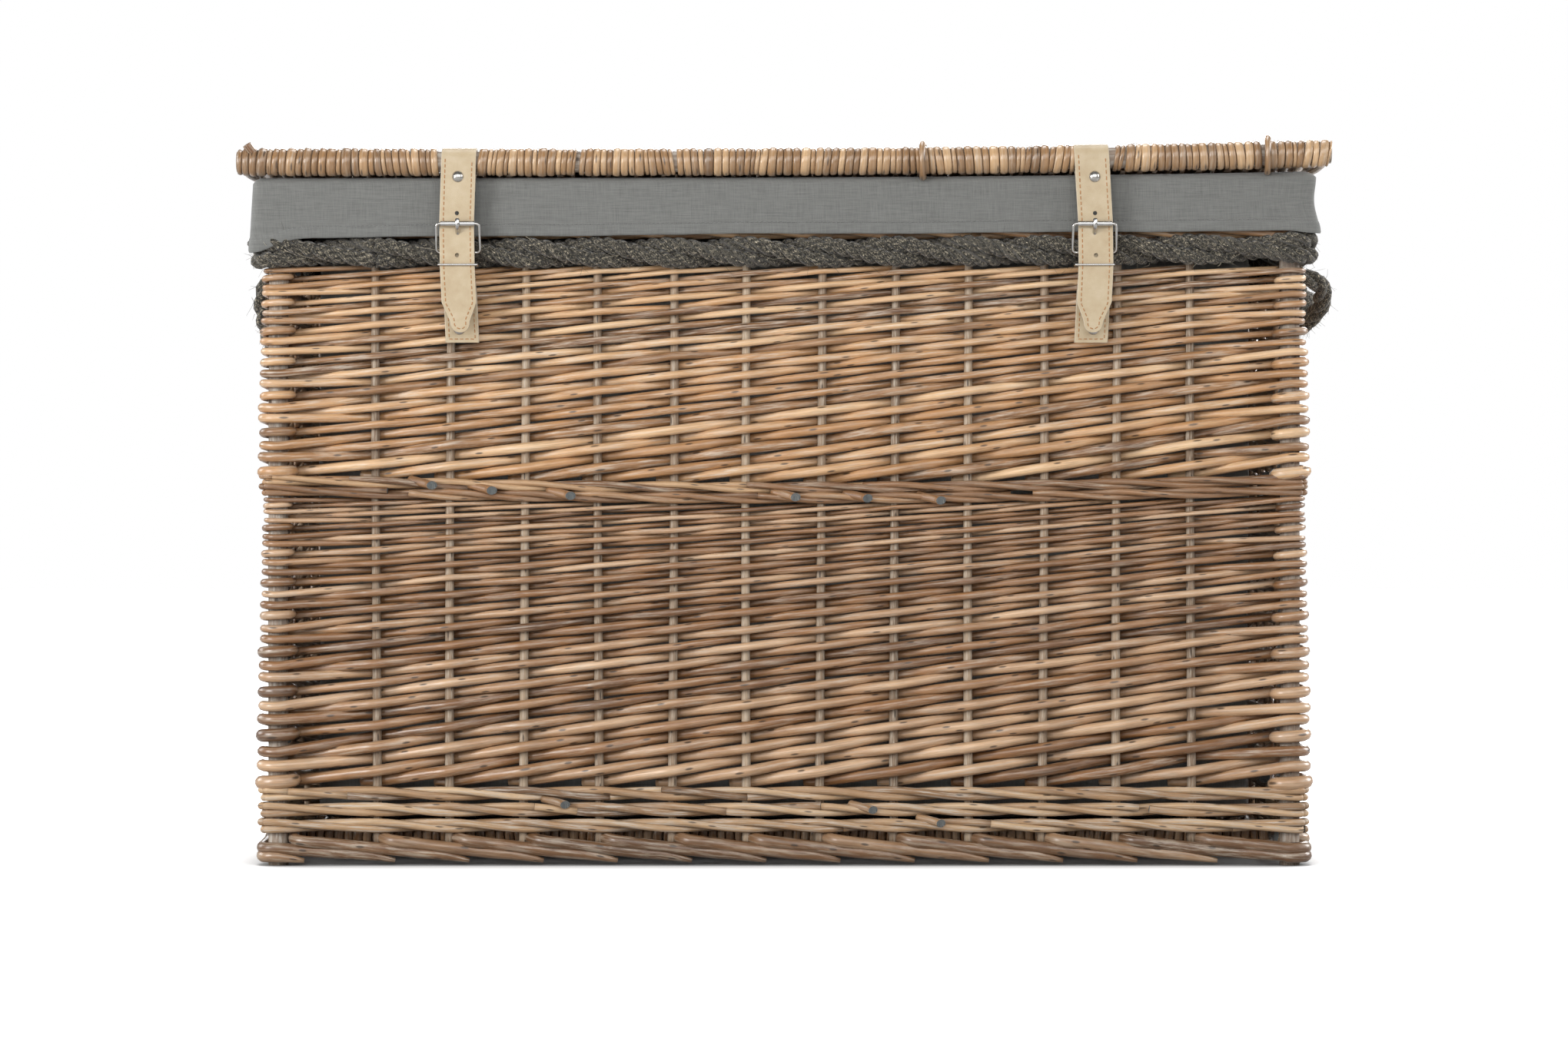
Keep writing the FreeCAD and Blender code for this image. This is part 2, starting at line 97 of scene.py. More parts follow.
# ---- camera
CAMERA_HEIGHT = 0.258       # metres, like the rest of the camera's places
CAMERA_BACK = 3.26          # from the trunk's middle
VIEW_WIDTH = 1.1746         # what the frame's width takes in at the trunk's front
FRONT_PLANE = 0.26


def make_camera():
    data = bpy.data.cameras.new("camera")
    camera = add_object("camera", data)
    camera.location = (0.0, -CAMERA_BACK, CAMERA_HEIGHT)
    camera.rotation_euler = (math.radians(90), 0, 0)
    data.sensor_width = 36.0
    data.lens = data.sensor_width * (CAMERA_BACK - FRONT_PLANE) / VIEW_WIDTH
    bpy.context.scene.camera = camera


make_camera()


# ---- node materials
def opaque(colour):
    """A colour with its alpha; a socket stays as it is."""
    return (*colour, 1.0) if isinstance(colour, tuple) else colour


class Nodes:
    """Short way to write a material's node tree."""

    def __init__(self, name):
        self.material = bpy.data.materials.new(name)
        self.material.use_nodes = True
        self.tree = self.material.node_tree
        self.tree.nodes.clear()
        self.shader = self.tree.nodes.new("ShaderNodeBsdfPrincipled")
        out = self.tree.nodes.new("ShaderNodeOutputMaterial")
        self.tree.links.new(self.shader.outputs[0], out.inputs[0])

    def put(self, socket, value):
        if isinstance(value, bpy.types.NodeSocket):
            self.tree.links.new(value, socket)
        elif value is not None:
            socket.default_value = value

    def node(self, kind, output=0, settings=(), **inputs):
        made = self.tree.nodes.new(kind)
        for key, value in dict(settings).items():
            setattr(made, key, value)
        for key, value in inputs.items():
            index = int(key[1:]) if key[0] == "i" and key[1:].isdigit() else key.replace("_", " ")
            self.put(made.inputs[index], value)
        return made.outputs[output]

    def attribute(self, name, output="Fac"):
        return self.node("ShaderNodeAttribute", output, {"attribute_name": name})

    def math(self, operation, a, b=0.0, clamp=False):
        return self.node("ShaderNodeMath", 0, {"operation": operation, "use_clamp": clamp}, i0=a, i1=b)

    def times(self, a, b, clamp=False):
        return self.math("MULTIPLY", a, b, clamp)

    def plus(self, a, b):
        return self.math("ADD", a, b)

    def wave(self, turns):
        return self.math("SINE", self.times(turns, 2 * math.pi))

    def object_at(self):
        return self.tree.nodes.new("ShaderNodeTexCoord").outputs["Object"]

    def combine(self, x, y, z):
        return self.node("ShaderNodeCombineXYZ", 0, (), i0=x, i1=y, i2=z)

    def noise(self, vector, scale, detail=3.0, roughness=0.55):
        return self.node("ShaderNodeTexNoise", 0, (), Vector=vector, Scale=scale, Detail=detail,
                         Roughness=roughness)

    def ramp(self, value, stops):
        made = self.tree.nodes.new("ShaderNodeValToRGB")
        self.put(made.inputs[0], value)
        elements = made.color_ramp.elements
        while len(elements) < len(stops):
            elements.new(0.5)
        for element, (at, colour) in zip(elements, stops):
            element.position = at
            element.color = opaque(colour if isinstance(colour, tuple) else (colour,) * 3)
        return made.outputs[0]

    def mix(self, factor, a, b, blend="MIX"):
        made = self.tree.nodes.new("ShaderNodeMix")
        made.data_type = "RGBA"
        made.blend_type = blend
        self.put(made.inputs[0], factor)
        self.put(made.inputs[6], opaque(a))
        self.put(made.inputs[7], opaque(b))
        return made.outputs[2]

    def bump(self, height, strength, distance):
        made = self.tree.nodes.new("ShaderNodeBump")
        made.inputs["Strength"].default_value = strength
        made.inputs["Distance"].default_value = distance
        self.put(made.inputs["Height"], height)
        return made.outputs[0]

    def finish(self, colour, roughness, normal=None, **sockets):
        self.put(self.shader.inputs["Base Color"], opaque(colour))
        self.put(self.shader.inputs["Roughness"], roughness)
        self.put(self.shader.inputs["Normal"], normal)
        for key, value in sockets.items():
            self.shader.inputs[key.replace("_", " ")].default_value = value
        return self.material


GRAIN_RING = 0.0035         # radius, in metres, at which a rod's grain is read round the rod


def willow(name, dark, mid, light, grey, grey_amount, gloss, coat=0.0):
    """Buffed willow: a tone for each rod, grain along it, washed-out grey residue, bud scars."""
    n = Nodes(name)
    tone, along = n.attribute("tone"), n.attribute("along")
    around, second = n.attribute("around"), n.attribute("second")
    angle = n.times(around, 2 * math.pi)
    ring_x = n.times(n.math("COSINE", angle), GRAIN_RING)
    ring_y = n.times(n.math("SINE", angle), GRAIN_RING)
    shift = n.times(tone, 37.0)
    grain = n.noise(n.combine(ring_x, ring_y, n.plus(n.times(along, 0.035), shift)), 1400.0, 4.0, 0.6)
    patch = n.noise(n.combine(ring_x, ring_y, n.plus(n.times(along, 0.16), shift)), 190.0, 3.0, 0.6)
    broad = n.noise(n.combine(along, shift, 0.0), 7.0, 2.0, 0.5)
    level = n.plus(n.plus(n.times(tone, 0.46), n.times(patch, 0.36)), n.times(broad, 0.22))
    body = n.ramp(level, [(0.22, dark), (0.5, mid), (0.82, light)])
    fine = n.ramp(grain, [(0.32, 0.62), (0.52, 1.0), (0.75, 1.22)])
    colour = n.mix(0.75, body, fine, "MULTIPLY")
    residue = n.noise(n.combine(ring_x, ring_y, n.times(along, 0.07)), 620.0, 5.0, 0.65)
    amount = n.times(n.ramp(residue, [(0.47, 0.0), (0.62, 1.0)]), grey_amount)
    amount = n.times(amount, n.plus(0.35, second), True)
    colour = n.mix(amount, colour, grey)
    # Bud scars: small dark dots, a few centimetres apart along the rod.
    scar_at = n.combine(n.plus(n.times(along, 22.0), shift), n.times(around, 2.0), 0.0)
    reach = n.node("ShaderNodeTexVoronoi", "Distance", {"voronoi_dimensions": "2D"},
                   Vector=scar_at, Scale=1.0, Randomness=0.9)
    scar = n.ramp(reach, [(0.045, 1.0), (0.085, 0.0)])
    colour = n.mix(n.times(scar, 0.8), colour, (0.035, 0.022, 0.014))
    wear = n.ramp(grain, [(0.3, gloss + 0.22), (0.7, gloss)])
    normal = n.bump(n.plus(n.times(grain, 0.5), n.times(patch, 0.8)), 0.5, 0.0006)
    return n.finish(colour, wear, normal, Specular_IOR_Level=0.5, Coat_Weight=coat,
                    Coat_Roughness=0.28)


def rope_material(name):
    """Twisted fibre: yarns that wind round each strand, with painted shade between them, under coarse light
    and dark fibres.
    """
    n = Nodes(name)
    tone, along, around = n.attribute("tone"), n.attribute("along"), n.attribute("around")
    yarn = n.wave(n.plus(n.times(along, 210.0), n.times(around, 3.0)))
    fibre = n.noise(n.combine(n.times(around, 4.0), n.times(along, 120.0), tone), 6.0, 6.0, 0.75)
    body = n.ramp(fibre, [(0.32, (0.009, 0.009, 0.008)), (0.49, (0.038, 0.036, 0.030)),
                          (0.57, (0.22, 0.19, 0.14)), (0.65, (0.78, 0.68, 0.50))])
    # Painted shade: the colour is darker in the grooves between the yarns.
    groove_shade = n.plus(n.times(yarn, 0.30), 0.72)
    colour = n.mix(0.9, body, n.combine(groove_shade, groove_shade, groove_shade), "MULTIPLY")
    normal = n.bump(n.plus(n.times(yarn, 0.5), n.times(fibre, 1.2)), 0.8, 0.0007)
    return n.finish(colour, 0.85, normal, Specular_IOR_Level=0.25, Sheen_Weight=0.25)


def hair_material(name):
    n = Nodes(name)
    colour = n.ramp(n.attribute("tone"), [(0.0, (0.03, 0.03, 0.026)), (0.5, (0.13, 0.125, 0.10)),
                                          (1.0, (0.60, 0.53, 0.40))])
    return n.finish(colour, 0.7, None, Specular_IOR_Level=0.3)


THREAD_PITCH = 0.00085      # metres from one thread of the cloth to the next


def linen(name, colour):
    """Plain-woven cloth: threads both ways with slubs."""
    n = Nodes(name)
    split = n.tree.nodes.new("ShaderNodeSeparateXYZ")
    n.put(split.inputs[0], n.object_at())
    flat, up = n.plus(split.outputs[0], split.outputs[1]), split.outputs[2]
    threads = 2 * math.pi / THREAD_PITCH
    cloth = n.times(n.math("SINE", n.times(flat, threads)), n.math("SINE", n.times(up, threads)))
    slub = n.noise(n.combine(n.times(flat, 12.0), n.times(flat, 2.0), n.times(up, 260.0)), 5.0, 4.0, 0.7)
    cross = n.noise(n.combine(n.times(flat, 260.0), 0.0, n.times(up, 12.0)), 5.0, 4.0, 0.7)
    both = n.times(n.plus(slub, cross), 0.5)
    shade = n.ramp(both, [(0.3, 0.66), (0.5, 1.0), (0.7, 1.34)])
    normal = n.bump(n.plus(n.times(cloth, 0.3), both), 0.55, 0.0004)
    return n.finish(n.mix(1.0, colour, shade, "MULTIPLY"), 0.88, normal, Specular_IOR_Level=0.2,
                    Sheen_Weight=0.35, Sheen_Roughness=0.5)


def leather(name):
    """Tan leather with pores and blotches; the edge attribute marks its paler cut edges."""
    n = Nodes(name)
    at = n.object_at()
    pores = n.node("ShaderNodeTexVoronoi", "Distance", Vector=at, Scale=1500.0)
    blotch = n.noise(at, 90.0, 4.0, 0.6)
    body = n.ramp(blotch, [(0.30, (0.427, 0.328, 0.205)), (0.55, (0.468, 0.374, 0.243)),
                           (0.75, (0.503, 0.411, 0.281))])
    colour = n.mix(n.attribute("edge"), body, (0.52, 0.45, 0.34))
    normal = n.bump(n.plus(pores, n.times(blotch, 0.5)), 0.25, 0.0003)
    return n.finish(colour, n.ramp(blotch, [(0.3, 0.5), (0.7, 0.38)]), normal, Specular_IOR_Level=0.45)


def thread_material(name, colour):
    n = Nodes(name)
    ply = n.noise(n.object_at(), 2600.0, 2.0, 0.5)
    light = tuple(min(1.0, c * 1.5) for c in colour)
    return n.finish(n.mix(ply, colour, light), 0.6, n.bump(ply, 0.4, 0.0002))


def metal(name, colour, roughness):
    n = Nodes(name)
    haze = n.noise(n.object_at(), 300.0, 4.0, 0.6)
    rough = n.ramp(haze, [(0.3, roughness), (0.7, roughness + 0.12)])
    shade = n.ramp(haze, [(0.3, tuple(c * 0.86 for c in colour)), (0.7, colour)])
    return n.finish(shade, rough, n.bump(haze, 0.05, 0.0002), Metallic=1.0)


RESIDUE = (0.50, 0.45, 0.385)
MAT = {
    "upper": willow("willow_upper_look", (0.10, 0.043, 0.016), (0.46, 0.24, 0.10),
                    (0.76, 0.53, 0.31), (0.64, 0.56, 0.46), 0.45, 0.28, 0.45),
    "lower": willow("willow_lower_look", (0.060, 0.023, 0.007), (0.275, 0.129, 0.048),
                    (0.62, 0.41, 0.245), (0.52, 0.44, 0.35), 0.42, 0.26, 0.7),
    "foot": willow("willow_foot_look", (0.13, 0.068, 0.033), (0.36, 0.215, 0.110),
                   (0.60, 0.42, 0.25), RESIDUE, 0.6, 0.36),
    "wale": willow("willow_wale_look", (0.105, 0.047, 0.020), (0.29, 0.148, 0.066),
                   (0.49, 0.31, 0.165), (0.46, 0.38, 0.29), 0.5, 0.34, 0.2),
    "border": willow("willow_border_look", (0.050, 0.022, 0.009), (0.178, 0.090, 0.040),
                     (0.50, 0.32, 0.185), (0.50, 0.43, 0.34), 0.45, 0.30, 0.5),
    "stake": willow("willow_stake_look", (0.15, 0.095, 0.055), (0.31, 0.22, 0.145),
                    (0.50, 0.39, 0.27), (0.52, 0.45, 0.36), 0.55, 0.5),
    "post": willow("willow_post_look", (0.13, 0.095, 0.07), (0.27, 0.205, 0.155),
                   (0.42, 0.34, 0.27), (0.52, 0.48, 0.42), 0.75, 0.5),
    "lid": willow("willow_lid_look", (0.105, 0.050, 0.020), (0.315, 0.172, 0.072),
                  (0.70, 0.47, 0.26), (0.54, 0.47, 0.38), 0.30, 0.20, 0.9),
    "cut": willow("willow_cut_look", (0.075, 0.083, 0.085), (0.125, 0.138, 0.14),
                  (0.20, 0.205, 0.20), (0.30, 0.30, 0.28), 0.5, 0.8),
    "rope": rope_material("rope_look"),
    "hair": hair_material("rope_hair_look"),
    "linen": linen("linen_look", (0.156, 0.158, 0.150)),
    "leather": leather("leather_look"),
    "thread": thread_material("thread_look", (0.32, 0.165, 0.068)),
    "hem_thread": thread_material("hem_thread_look", (0.16, 0.16, 0.155)),
    "chrome": metal("chrome_look", (0.62, 0.61, 0.59), 0.12),
    "rivet": metal("rivet_look", (0.58, 0.56, 0.52), 0.16),
    # Near-black for the walls and bottoms of the punched holes: painted shade, not the leather's own colour.
    "hole": thread_material("hole_edge_look", (0.045, 0.032, 0.022)),
}


# ---- meshes and rods
def place(name, mesh, body):
    piece = add_object(name, mesh)
    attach(piece, body)
    return piece


def make_mesh(name, points, faces, attributes, materials):
    """Smooth mesh from points in mm; attributes are one number for each point."""
    mesh = bpy.data.meshes.new(name)
    mesh.from_pydata((points.reshape(-1, 3) * MM).tolist(), [], faces)
    for key, values in attributes.items():
        layer = mesh.attributes.new(key, "FLOAT", "POINT")
        layer.data.foreach_set("value", values.reshape(-1).astype(np.float32))
    mesh.polygons.foreach_set("use_smooth", np.ones(len(mesh.polygons), bool))
    for material in materials:
        mesh.materials.append(material)
    mesh.update()
    return mesh


def grid_index(rows, cols):
    """Point numbers of a grid, as each row and the row after it."""
    index = np.arange(rows * cols).reshape(rows, cols)
    return index, index[:-1], index[1:]


def tube_quads(a, b):
    return np.stack([a, np.roll(a, -1, 1), np.roll(b, -1, 1), b], -1).reshape(-1, 4).tolist()


def unit(vectors):
    return vectors / (np.linalg.norm(vectors, axis=-1, keepdims=True) + 1e-12)


def arc_lengths(path):
    """Distance along the path at each of its points."""
    return np.concatenate([[0.0], np.cumsum(np.linalg.norm(np.diff(path, axis=0), axis=1))])


def circle(angles, r, y, z):
    """Points (y, z) round a centre, at angles in degrees."""
    return [(y + r * math.cos(math.radians(a)), z + r * math.sin(math.radians(a))) for a in angles]


def joined(x, y, z):
    """Path from its three coordinates, each an array or one number."""
    return np.stack(np.broadcast_arrays(x, y, z), 1)


class Rods:
    """Many round rods in one mesh, with the attributes that the materials read."""

    def __init__(self):
        self.points, self.faces, self.caps = [], [], []
        self.values = {"tone": [], "along": [], "around": [], "second": []}
        self.count = 0

    def add(self, path, radius, sides=10, tone=None, second=None, start=0.0, flat=1.0,
            flat_axis=None, close=True):
        """Rod along path (mm). flat squeezes it along flat_axis, or along its side vector."""
        path = np.asarray(path, float)
        n = len(path)
        tangent = unit(np.gradient(path, axis=0))
        if flat_axis is None:
            side = parallel_frames(tangent)
        else:
            side = np.broadcast_to(np.asarray(flat_axis, float), (n, 3))
            side = unit(side - (side * tangent).sum(1)[:, None] * tangent)
        other = np.cross(tangent, side)
        turn = np.arange(sides) / sides * 2 * np.pi
        squeeze = np.broadcast_to(np.asarray(flat, float), (n,))
        ring = (np.cos(turn)[None, :, None] * side[:, None, :] * squeeze[:, None, None]
                + np.sin(turn)[None, :, None] * other[:, None, :])
        radius = np.broadcast_to(np.asarray(radius, float), (n,))
        self.points.append((path[:, None, :] + ring * radius[:, None, None]).reshape(-1, 3))
        index, a, b = grid_index(n, sides)
        self.faces += tube_quads(a + self.count, b + self.count)
        if close:
            self.caps += [(index[0][::-1] + self.count).tolist(), (index[-1] + self.count).tolist()]
        tone = rng.random() if tone is None else tone
        second = rng.random() if second is None else second
        self.values["tone"].append(np.full(n * sides, tone))
        self.values["along"].append(np.repeat((arc_lengths(path) + start) * MM, sides))
        self.values["around"].append(np.tile(np.arange(sides) / sides, n))
        self.values["second"].append(np.full(n * sides, second))
        self.count += n * sides

    def build(self, name, material, cap_material=None, body="basket", slot=None, warp=None):
        points = np.concatenate(self.points)
        if warp is not None:
            points = warp(points)
        faces = self.faces + self.caps
        values = {key: np.concatenate(parts) for key, parts in self.values.items()}
        materials = [material] if cap_material is None else [material, cap_material]
        mesh = make_mesh(name, points, faces, values, materials)
        is_cap = np.arange(len(faces)) >= len(self.faces)
        mesh.polygons.foreach_set("use_smooth", ~is_cap)
        if cap_material is not None:
            mesh.polygons.foreach_set("material_index", is_cap.astype(int))
        mesh.update()
        return place(name, mesh, body)


def parallel_frames(tangent):
    """A side vector for each point that doesn't twist along the path."""
    seed = np.array([0.0, 0.0, 1.0] if abs(tangent[0][2]) <= 0.9 else [1.0, 0.0, 0.0])
    side = np.empty((len(tangent), 3))
    for i, along in enumerate(tangent):
        before = side[i - 1] if i else seed
        side[i] = unit(before - (before @ along) * along)
    return side


def catmull_rom(p, per_span):
    t = (np.arange(per_span) / per_span)[:, None]
    return [0.5 * (2 * b + (c - a) * t + (2 * a - 5 * b + 4 * c - d) * t ** 2
                   + (3 * b - 3 * c + d - a) * t ** 3) for a, b, c, d in zip(p, p[1:], p[2:], p[3:])]


def smooth_through(points, per_span):
    """Smooth curve through the points, per_span samples to a span."""
    p = np.asarray(points, float)
    p = np.vstack([2 * p[0] - p[1], p, 2 * p[-1] - p[-2]])
    return np.vstack([*catmull_rom(p, per_span), p[-2:-1]])


def closed_curve(points, per_span):
    """Smooth curve through a ring of points, ending where it began."""
    p = np.asarray(points, float)
    spans = catmull_rom(np.vstack([p[-1:], p, p[:2]]), per_span)
    return np.vstack([*spans, spans[0][:1]])


# ---- the ring of stakes and posts
def stations():
    """Each stake and post in turn, anticlockwise from above: place, outward normal, radius."""
    corner = math.sqrt(0.5)
    out = [((-WALL_X, -WALL_Y), (-corner, -corner), POST_R)]
    out += [((x, -WALL_Y), (0, -1), STAKE_R) for x in FRONT_XS]
    out.append(((WALL_X, -WALL_Y), (corner, -corner), POST_R))
    out += [((WALL_X, y), (1, 0), STAKE_R) for y in SIDE_YS]
    out.append(((WALL_X, WALL_Y), (corner, corner), POST_R))
    out += [((x, WALL_Y), (0, 1), STAKE_R) for x in FRONT_XS[::-1]]
    out.append(((-WALL_X, WALL_Y), (-corner, corner), POST_R))
    out += [((-WALL_X, y), (-1, 0), STAKE_R) for y in SIDE_YS[::-1]]
    return out


STATIONS = stations()
COUNT = len(STATIONS)
CORNERS = np.cumsum([0, FRONT_N + 1, SIDE_N + 1, FRONT_N + 1]).tolist()
# Each wall's stations, the first of which is its left corner post.
WALLS = {name: range(a, b)
         for name, a, b in zip(("front", "right", "back", "left"), CORNERS, CORNERS[1:] + [COUNT])}
LONG_SPAN = 22.0            # two crossings further apart than this have a straight run between them


def is_post(k):
    return k % COUNT in CORNERS


def along_wall(k):
    """Unit vector along the wall at station k, to the right as seen from outside."""
    n = STATIONS[k % COUNT][1]
    return np.array([-n[1], n[0]])


def crossing(k, side, r, z, out):
    """Points where a rod of radius r passes station k, outside (+1) or inside (-1)."""
    at, normal, stake = STATIONS[k % COUNT]
    at, n, t = np.array(at), np.array(normal), along_wall(k)
    if not is_post(k):
        return [(*(at + n * side * (stake + r + out)), z)]
    if side < 0:
        return [(*(at - n * (stake + r)), z)]
    reach = stake + r * 0.96 + out
    turns = [math.radians(turn) for turn in (-52, 0, 52)]
    return [(*(at + (n * math.cos(a) + t * math.sin(a)) * reach), z) for a in turns]


def straighten(points, radii):
    """Adds points near each crossing, so that a stiff rod runs straight in between."""
    out, sizes = [points[0]], [radii[0]]
    for a, b, ra, rb in zip(points, points[1:], radii, radii[1:]):
        a, b = np.array(a), np.array(b)
        if np.linalg.norm(b - a) > LONG_SPAN:
            for f in (0.2, 0.8):
                out.append(tuple(a + (b - a) * f))
                sizes.append(ra + (rb - ra) * f)
        out.append(tuple(b))
        sizes.append(rb)
    return out, sizes


def sag(points):
    """The bands dip a little in the middle of each wall."""
    x, y, z = points[:, 0], points[:, 1], points[:, 2]
    u = np.where(np.abs(y) > WALL_Y - 16, x / WALL_X, y / WALL_Y)
    lift = 6.0 * np.clip(np.abs(u), 0, 1.05) ** 2 - 2.6
    weight = np.interp(z, [55, 275, 300, 448], [0.0, 1.0, 1.0, 0.0])
    out = points.copy()
    out[:, 2] += lift * weight
    return out


# ---- randing
ROD_SHARE = 0.254           # a weaver's radius, next to the pitch of its rows


def randing(level, crossings, pitch_first, pitch_last):
    """French randing: a weaver from behind each station, climbing to the right."""
    rows = crossings / 2
    z0, z1 = span_z("weave_" + level + "_front")
    grow = (z1 - z0 - 3) / (rows * (pitch_first + pitch_last) / 2)
    p0, p1 = pitch_first * grow, pitch_last * grow

    def height(u):
        return z0 + 2.0 + p0 * u + (p1 - p0) * u * u / (2 * rows)

    def pitch(u):
        return p0 + (p1 - p0) * u / rows

    def weaver(rods, i):
        size = rng.normal(1.0, 0.05)
        points, radii = [], []
        for m in range(crossings + 1):
            k, u = i + m, m / 2
            r = ROD_SHARE * pitch(u) * size
            side = 1 if m % 2 else -1
            z = height(u) + rng.normal(0, 0.45)
            if is_post(k) and side > 0:
                z += (0.2 if int(u) % 2 == 0 else -0.2) * pitch(u)
            spots = crossing(k, side, r, z, rng.normal(0.0, 0.25))
            points += spots
            radii += [r] * len(spots)
        # The butt end lies behind the first station.
        first, second = np.array(points[0]), np.array(points[1])
        lead = (first - second) * 0.22
        lead[2] = 0
        points, radii = straighten([tuple(first + lead)] + points, radii[:1] + radii)
        per_span = 3
        path = smooth_through(points, per_span)
        spread = np.interp(np.arange(len(path)) / per_span, np.arange(len(radii)), radii)
        rods.add(path, spread, 10, flat=0.94, start=rng.random() * 900)

    def post_turns(rods, k):
        """Short extra turns round a post, which keep the corner level."""
        at, normal, stake = STATIONS[k]
        n, t = np.array(normal), along_wall(k)
        for u in np.arange(0, rows - 0.5, 2):
            r = 0.27 * pitch(u) * rng.normal(1.0, 0.05)
            points = []
            for turn in (-172, -135, -95, -52, 0, 52, 95, 135, 172):
                a = math.radians(turn)
                reach = (stake + r) * (1.0 if abs(turn) < 100 else 0.9)
                p = np.array(at) + (n * math.cos(a) + t * math.sin(a)) * reach
                points.append((*p, height(u) + 0.012 * turn))
            rods.add(smooth_through(points, 4), r, 10, start=rng.random() * 900)

    piles = {wall: Rods() for wall in WALLS}
    for wall, ks in WALLS.items():
        for k in ks:
            weaver(piles[wall], k)
    for wall, ks in WALLS.items():
        post_turns(piles[wall], ks[0])
    for wall, rods in piles.items():
        piece = rods.build("randing_" + level + "_" + wall, MAT[level], MAT["cut"],
                           slot="willow_weave", warp=sag)
        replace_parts(piece, "weave_" + level + "_" + wall)


randing("lower", 34, 17.0, 6.5)
randing("upper", 26, 17.0, 9.3)


# ---- wales and borders
def wale_strand(j, z, rise, r, shift=0.0):
    """One strand of a three-rod wale: in front of two stations, behind the third."""
    points = []
    for k in range(1, COUNT + 1):
        phase = (k - j) % 3
        side = -1 if phase == 0 else 1
        out = (0.0, 0.9, -0.3)[phase] + rng.normal(0, 0.15) + shift
        points += crossing(k, side, r, z + (0.0, rise, -rise)[phase], out)
    return points


def wale_rods(rods, z, r, rise, shift=0.0):
    """Three strands, each pieced from rods that overlap where a new one is put in."""
    for j in range(3):
        path = closed_curve(wale_strand(j, z, rise, r, shift), 7)[:-1]
        path = np.roll(path, -int(len(path) * rng.uniform(0.45, 0.6)), axis=0)
        path = np.vstack([path, path[:1]])
        n = len(path)
        cuts = np.sort(rng.choice(np.arange(40, n - 40), 4, replace=False))
        stops = [0, *cuts, n]
        for a, b in zip(stops, stops[1:]):
            part = path[a:min(b + 1, n)]
            if len(part) >= 4:
                size = r * rng.normal(1.0, 0.04)
                rods.add(part, size, 10, flat=0.96, start=rng.random() * 900)


def cut_end(rods, x, z, r):
    """Slanting butt end of a rod that pokes out of a wale, turned to the front."""
    y = -WALL_Y - STAKE_R
    path = [(x - 16.0, y, z + 3.6), (x - 7.2, y - r * 1.1, z + 1.6),
            (x - 1.5, y - r * 1.6 - 0.8, z + 0.2), (x + 0.8, y - r * 1.6 - 3.6, z - 0.4)]
    rods.add(smooth_through(path, 4), r, 14, tone=0.25 + 0.3 * rng.random(), flat=0.7, flat_axis=(0, 0, 1))


def woven(rods, node, look, warp=None):
    """Builds a band of the basket in place of its plain node."""
    piece = rods.build(node + "_rods", MAT[look], MAT["cut"], slot="willow_weave", warp=warp)
    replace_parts(piece, node)


def wales():
    low, high = span_z("foot_wale")
    rods, rounds = Rods(), 3
    step = (high - low) / rounds
    for i in range(rounds):
        wale_rods(rods, low + step * (i + 0.5), 2.95, 2.6)
    for x, z in ((-165, 46.5), (66, 42.5), (117, 32.5)):
        cut_end(rods, x, z, 4.3)
    woven(rods, "foot_wale", "foot")
    low, high = span_z("mid_wale")
    rods, z = Rods(), (low + high) / 2
    for dz in (-3.9, 3.9):
        wale_rods(rods, z + dz, 2.5, 2.1)
    for x, dz in ((-265, 3), (-220, 0), (-161, -3), (8, -3), (62, -4), (117, -6)):
        cut_end(rods, x, z + dz, 4.6)
    woven(rods, "mid_wale", "wale", sag)
    low, high = span_z("top_wale")
    rods = Rods()
    for z in (low + 4, low + 13):
        wale_rods(rods, z, 3.1, 2.4)
    woven(rods, "top_wale", "wale")


def foot_border():
    """Rods that come out at each station and run down to the right, each under the next."""
    rods = Rods()
    r, span, step = 4.7, 2.45, 0.34
    high, low = 20.6, 5.8
    for k in range(COUNT):
        points, sizes = crossing(k, -1, r, high + 0.5, 0.0)[:1], [1.0]
        for m in np.arange(0.22, span, step):
            base = int(math.floor(k + m))
            f = k + m - base
            a = np.array(crossing(base, 1, r, 0, 0.0)[-1][:2])
            b = np.array(crossing(base + 1, 1, r, 0, 0.0)[0][:2])
            at = a * (1 - f) + b * f
            z = high - (high - low) * (1 - (1 - m / span) ** 1.3)
            lift = 2.2 * math.exp(-m / 0.5) - 1.6 * m / span
            front = abs(at[1]) > WALL_Y - 6
            axis = np.array([0.0, np.sign(at[1])]) if front else np.array([np.sign(at[0]), 0.0])
            points.append((*(at + axis * lift), z))
            sizes.append(1.0 if m < span - 2 * step else 0.9)
            if is_post(base + 1) and f + step >= 1:
                spots = crossing(base + 1, 1, r, z - 0.8, 0.0)
                points += spots
                sizes += [1.0] * len(spots)
        sizes[-1] = 0.4
        points[-1] = (*points[-1][:2], 1.9 + 0.4 * r)
        path = smooth_through(points, 4)
        spread = np.interp(np.linspace(0, len(sizes) - 1, len(path)), np.arange(len(sizes)), sizes)
        rods.add(path, r * spread * rng.normal(1.0, 0.03), 12, start=rng.random() * 900,
                 tone=rng.uniform(0.2, 0.75))
    woven(rods, "foot_border", "border")


wales()
foot_border()


# ---- stakes and posts
def upright_path(at, z0, z1, bow):
    phase_x, phase_y = rng.random(2) * 6.28
    z = np.linspace(z0, z1, 60)
    wave = z / 160.0
    return joined(at[0] + bow * np.sin(wave + phase_x), at[1] + 0.35 * bow * np.sin(wave * 1.3 + phase_y), z)


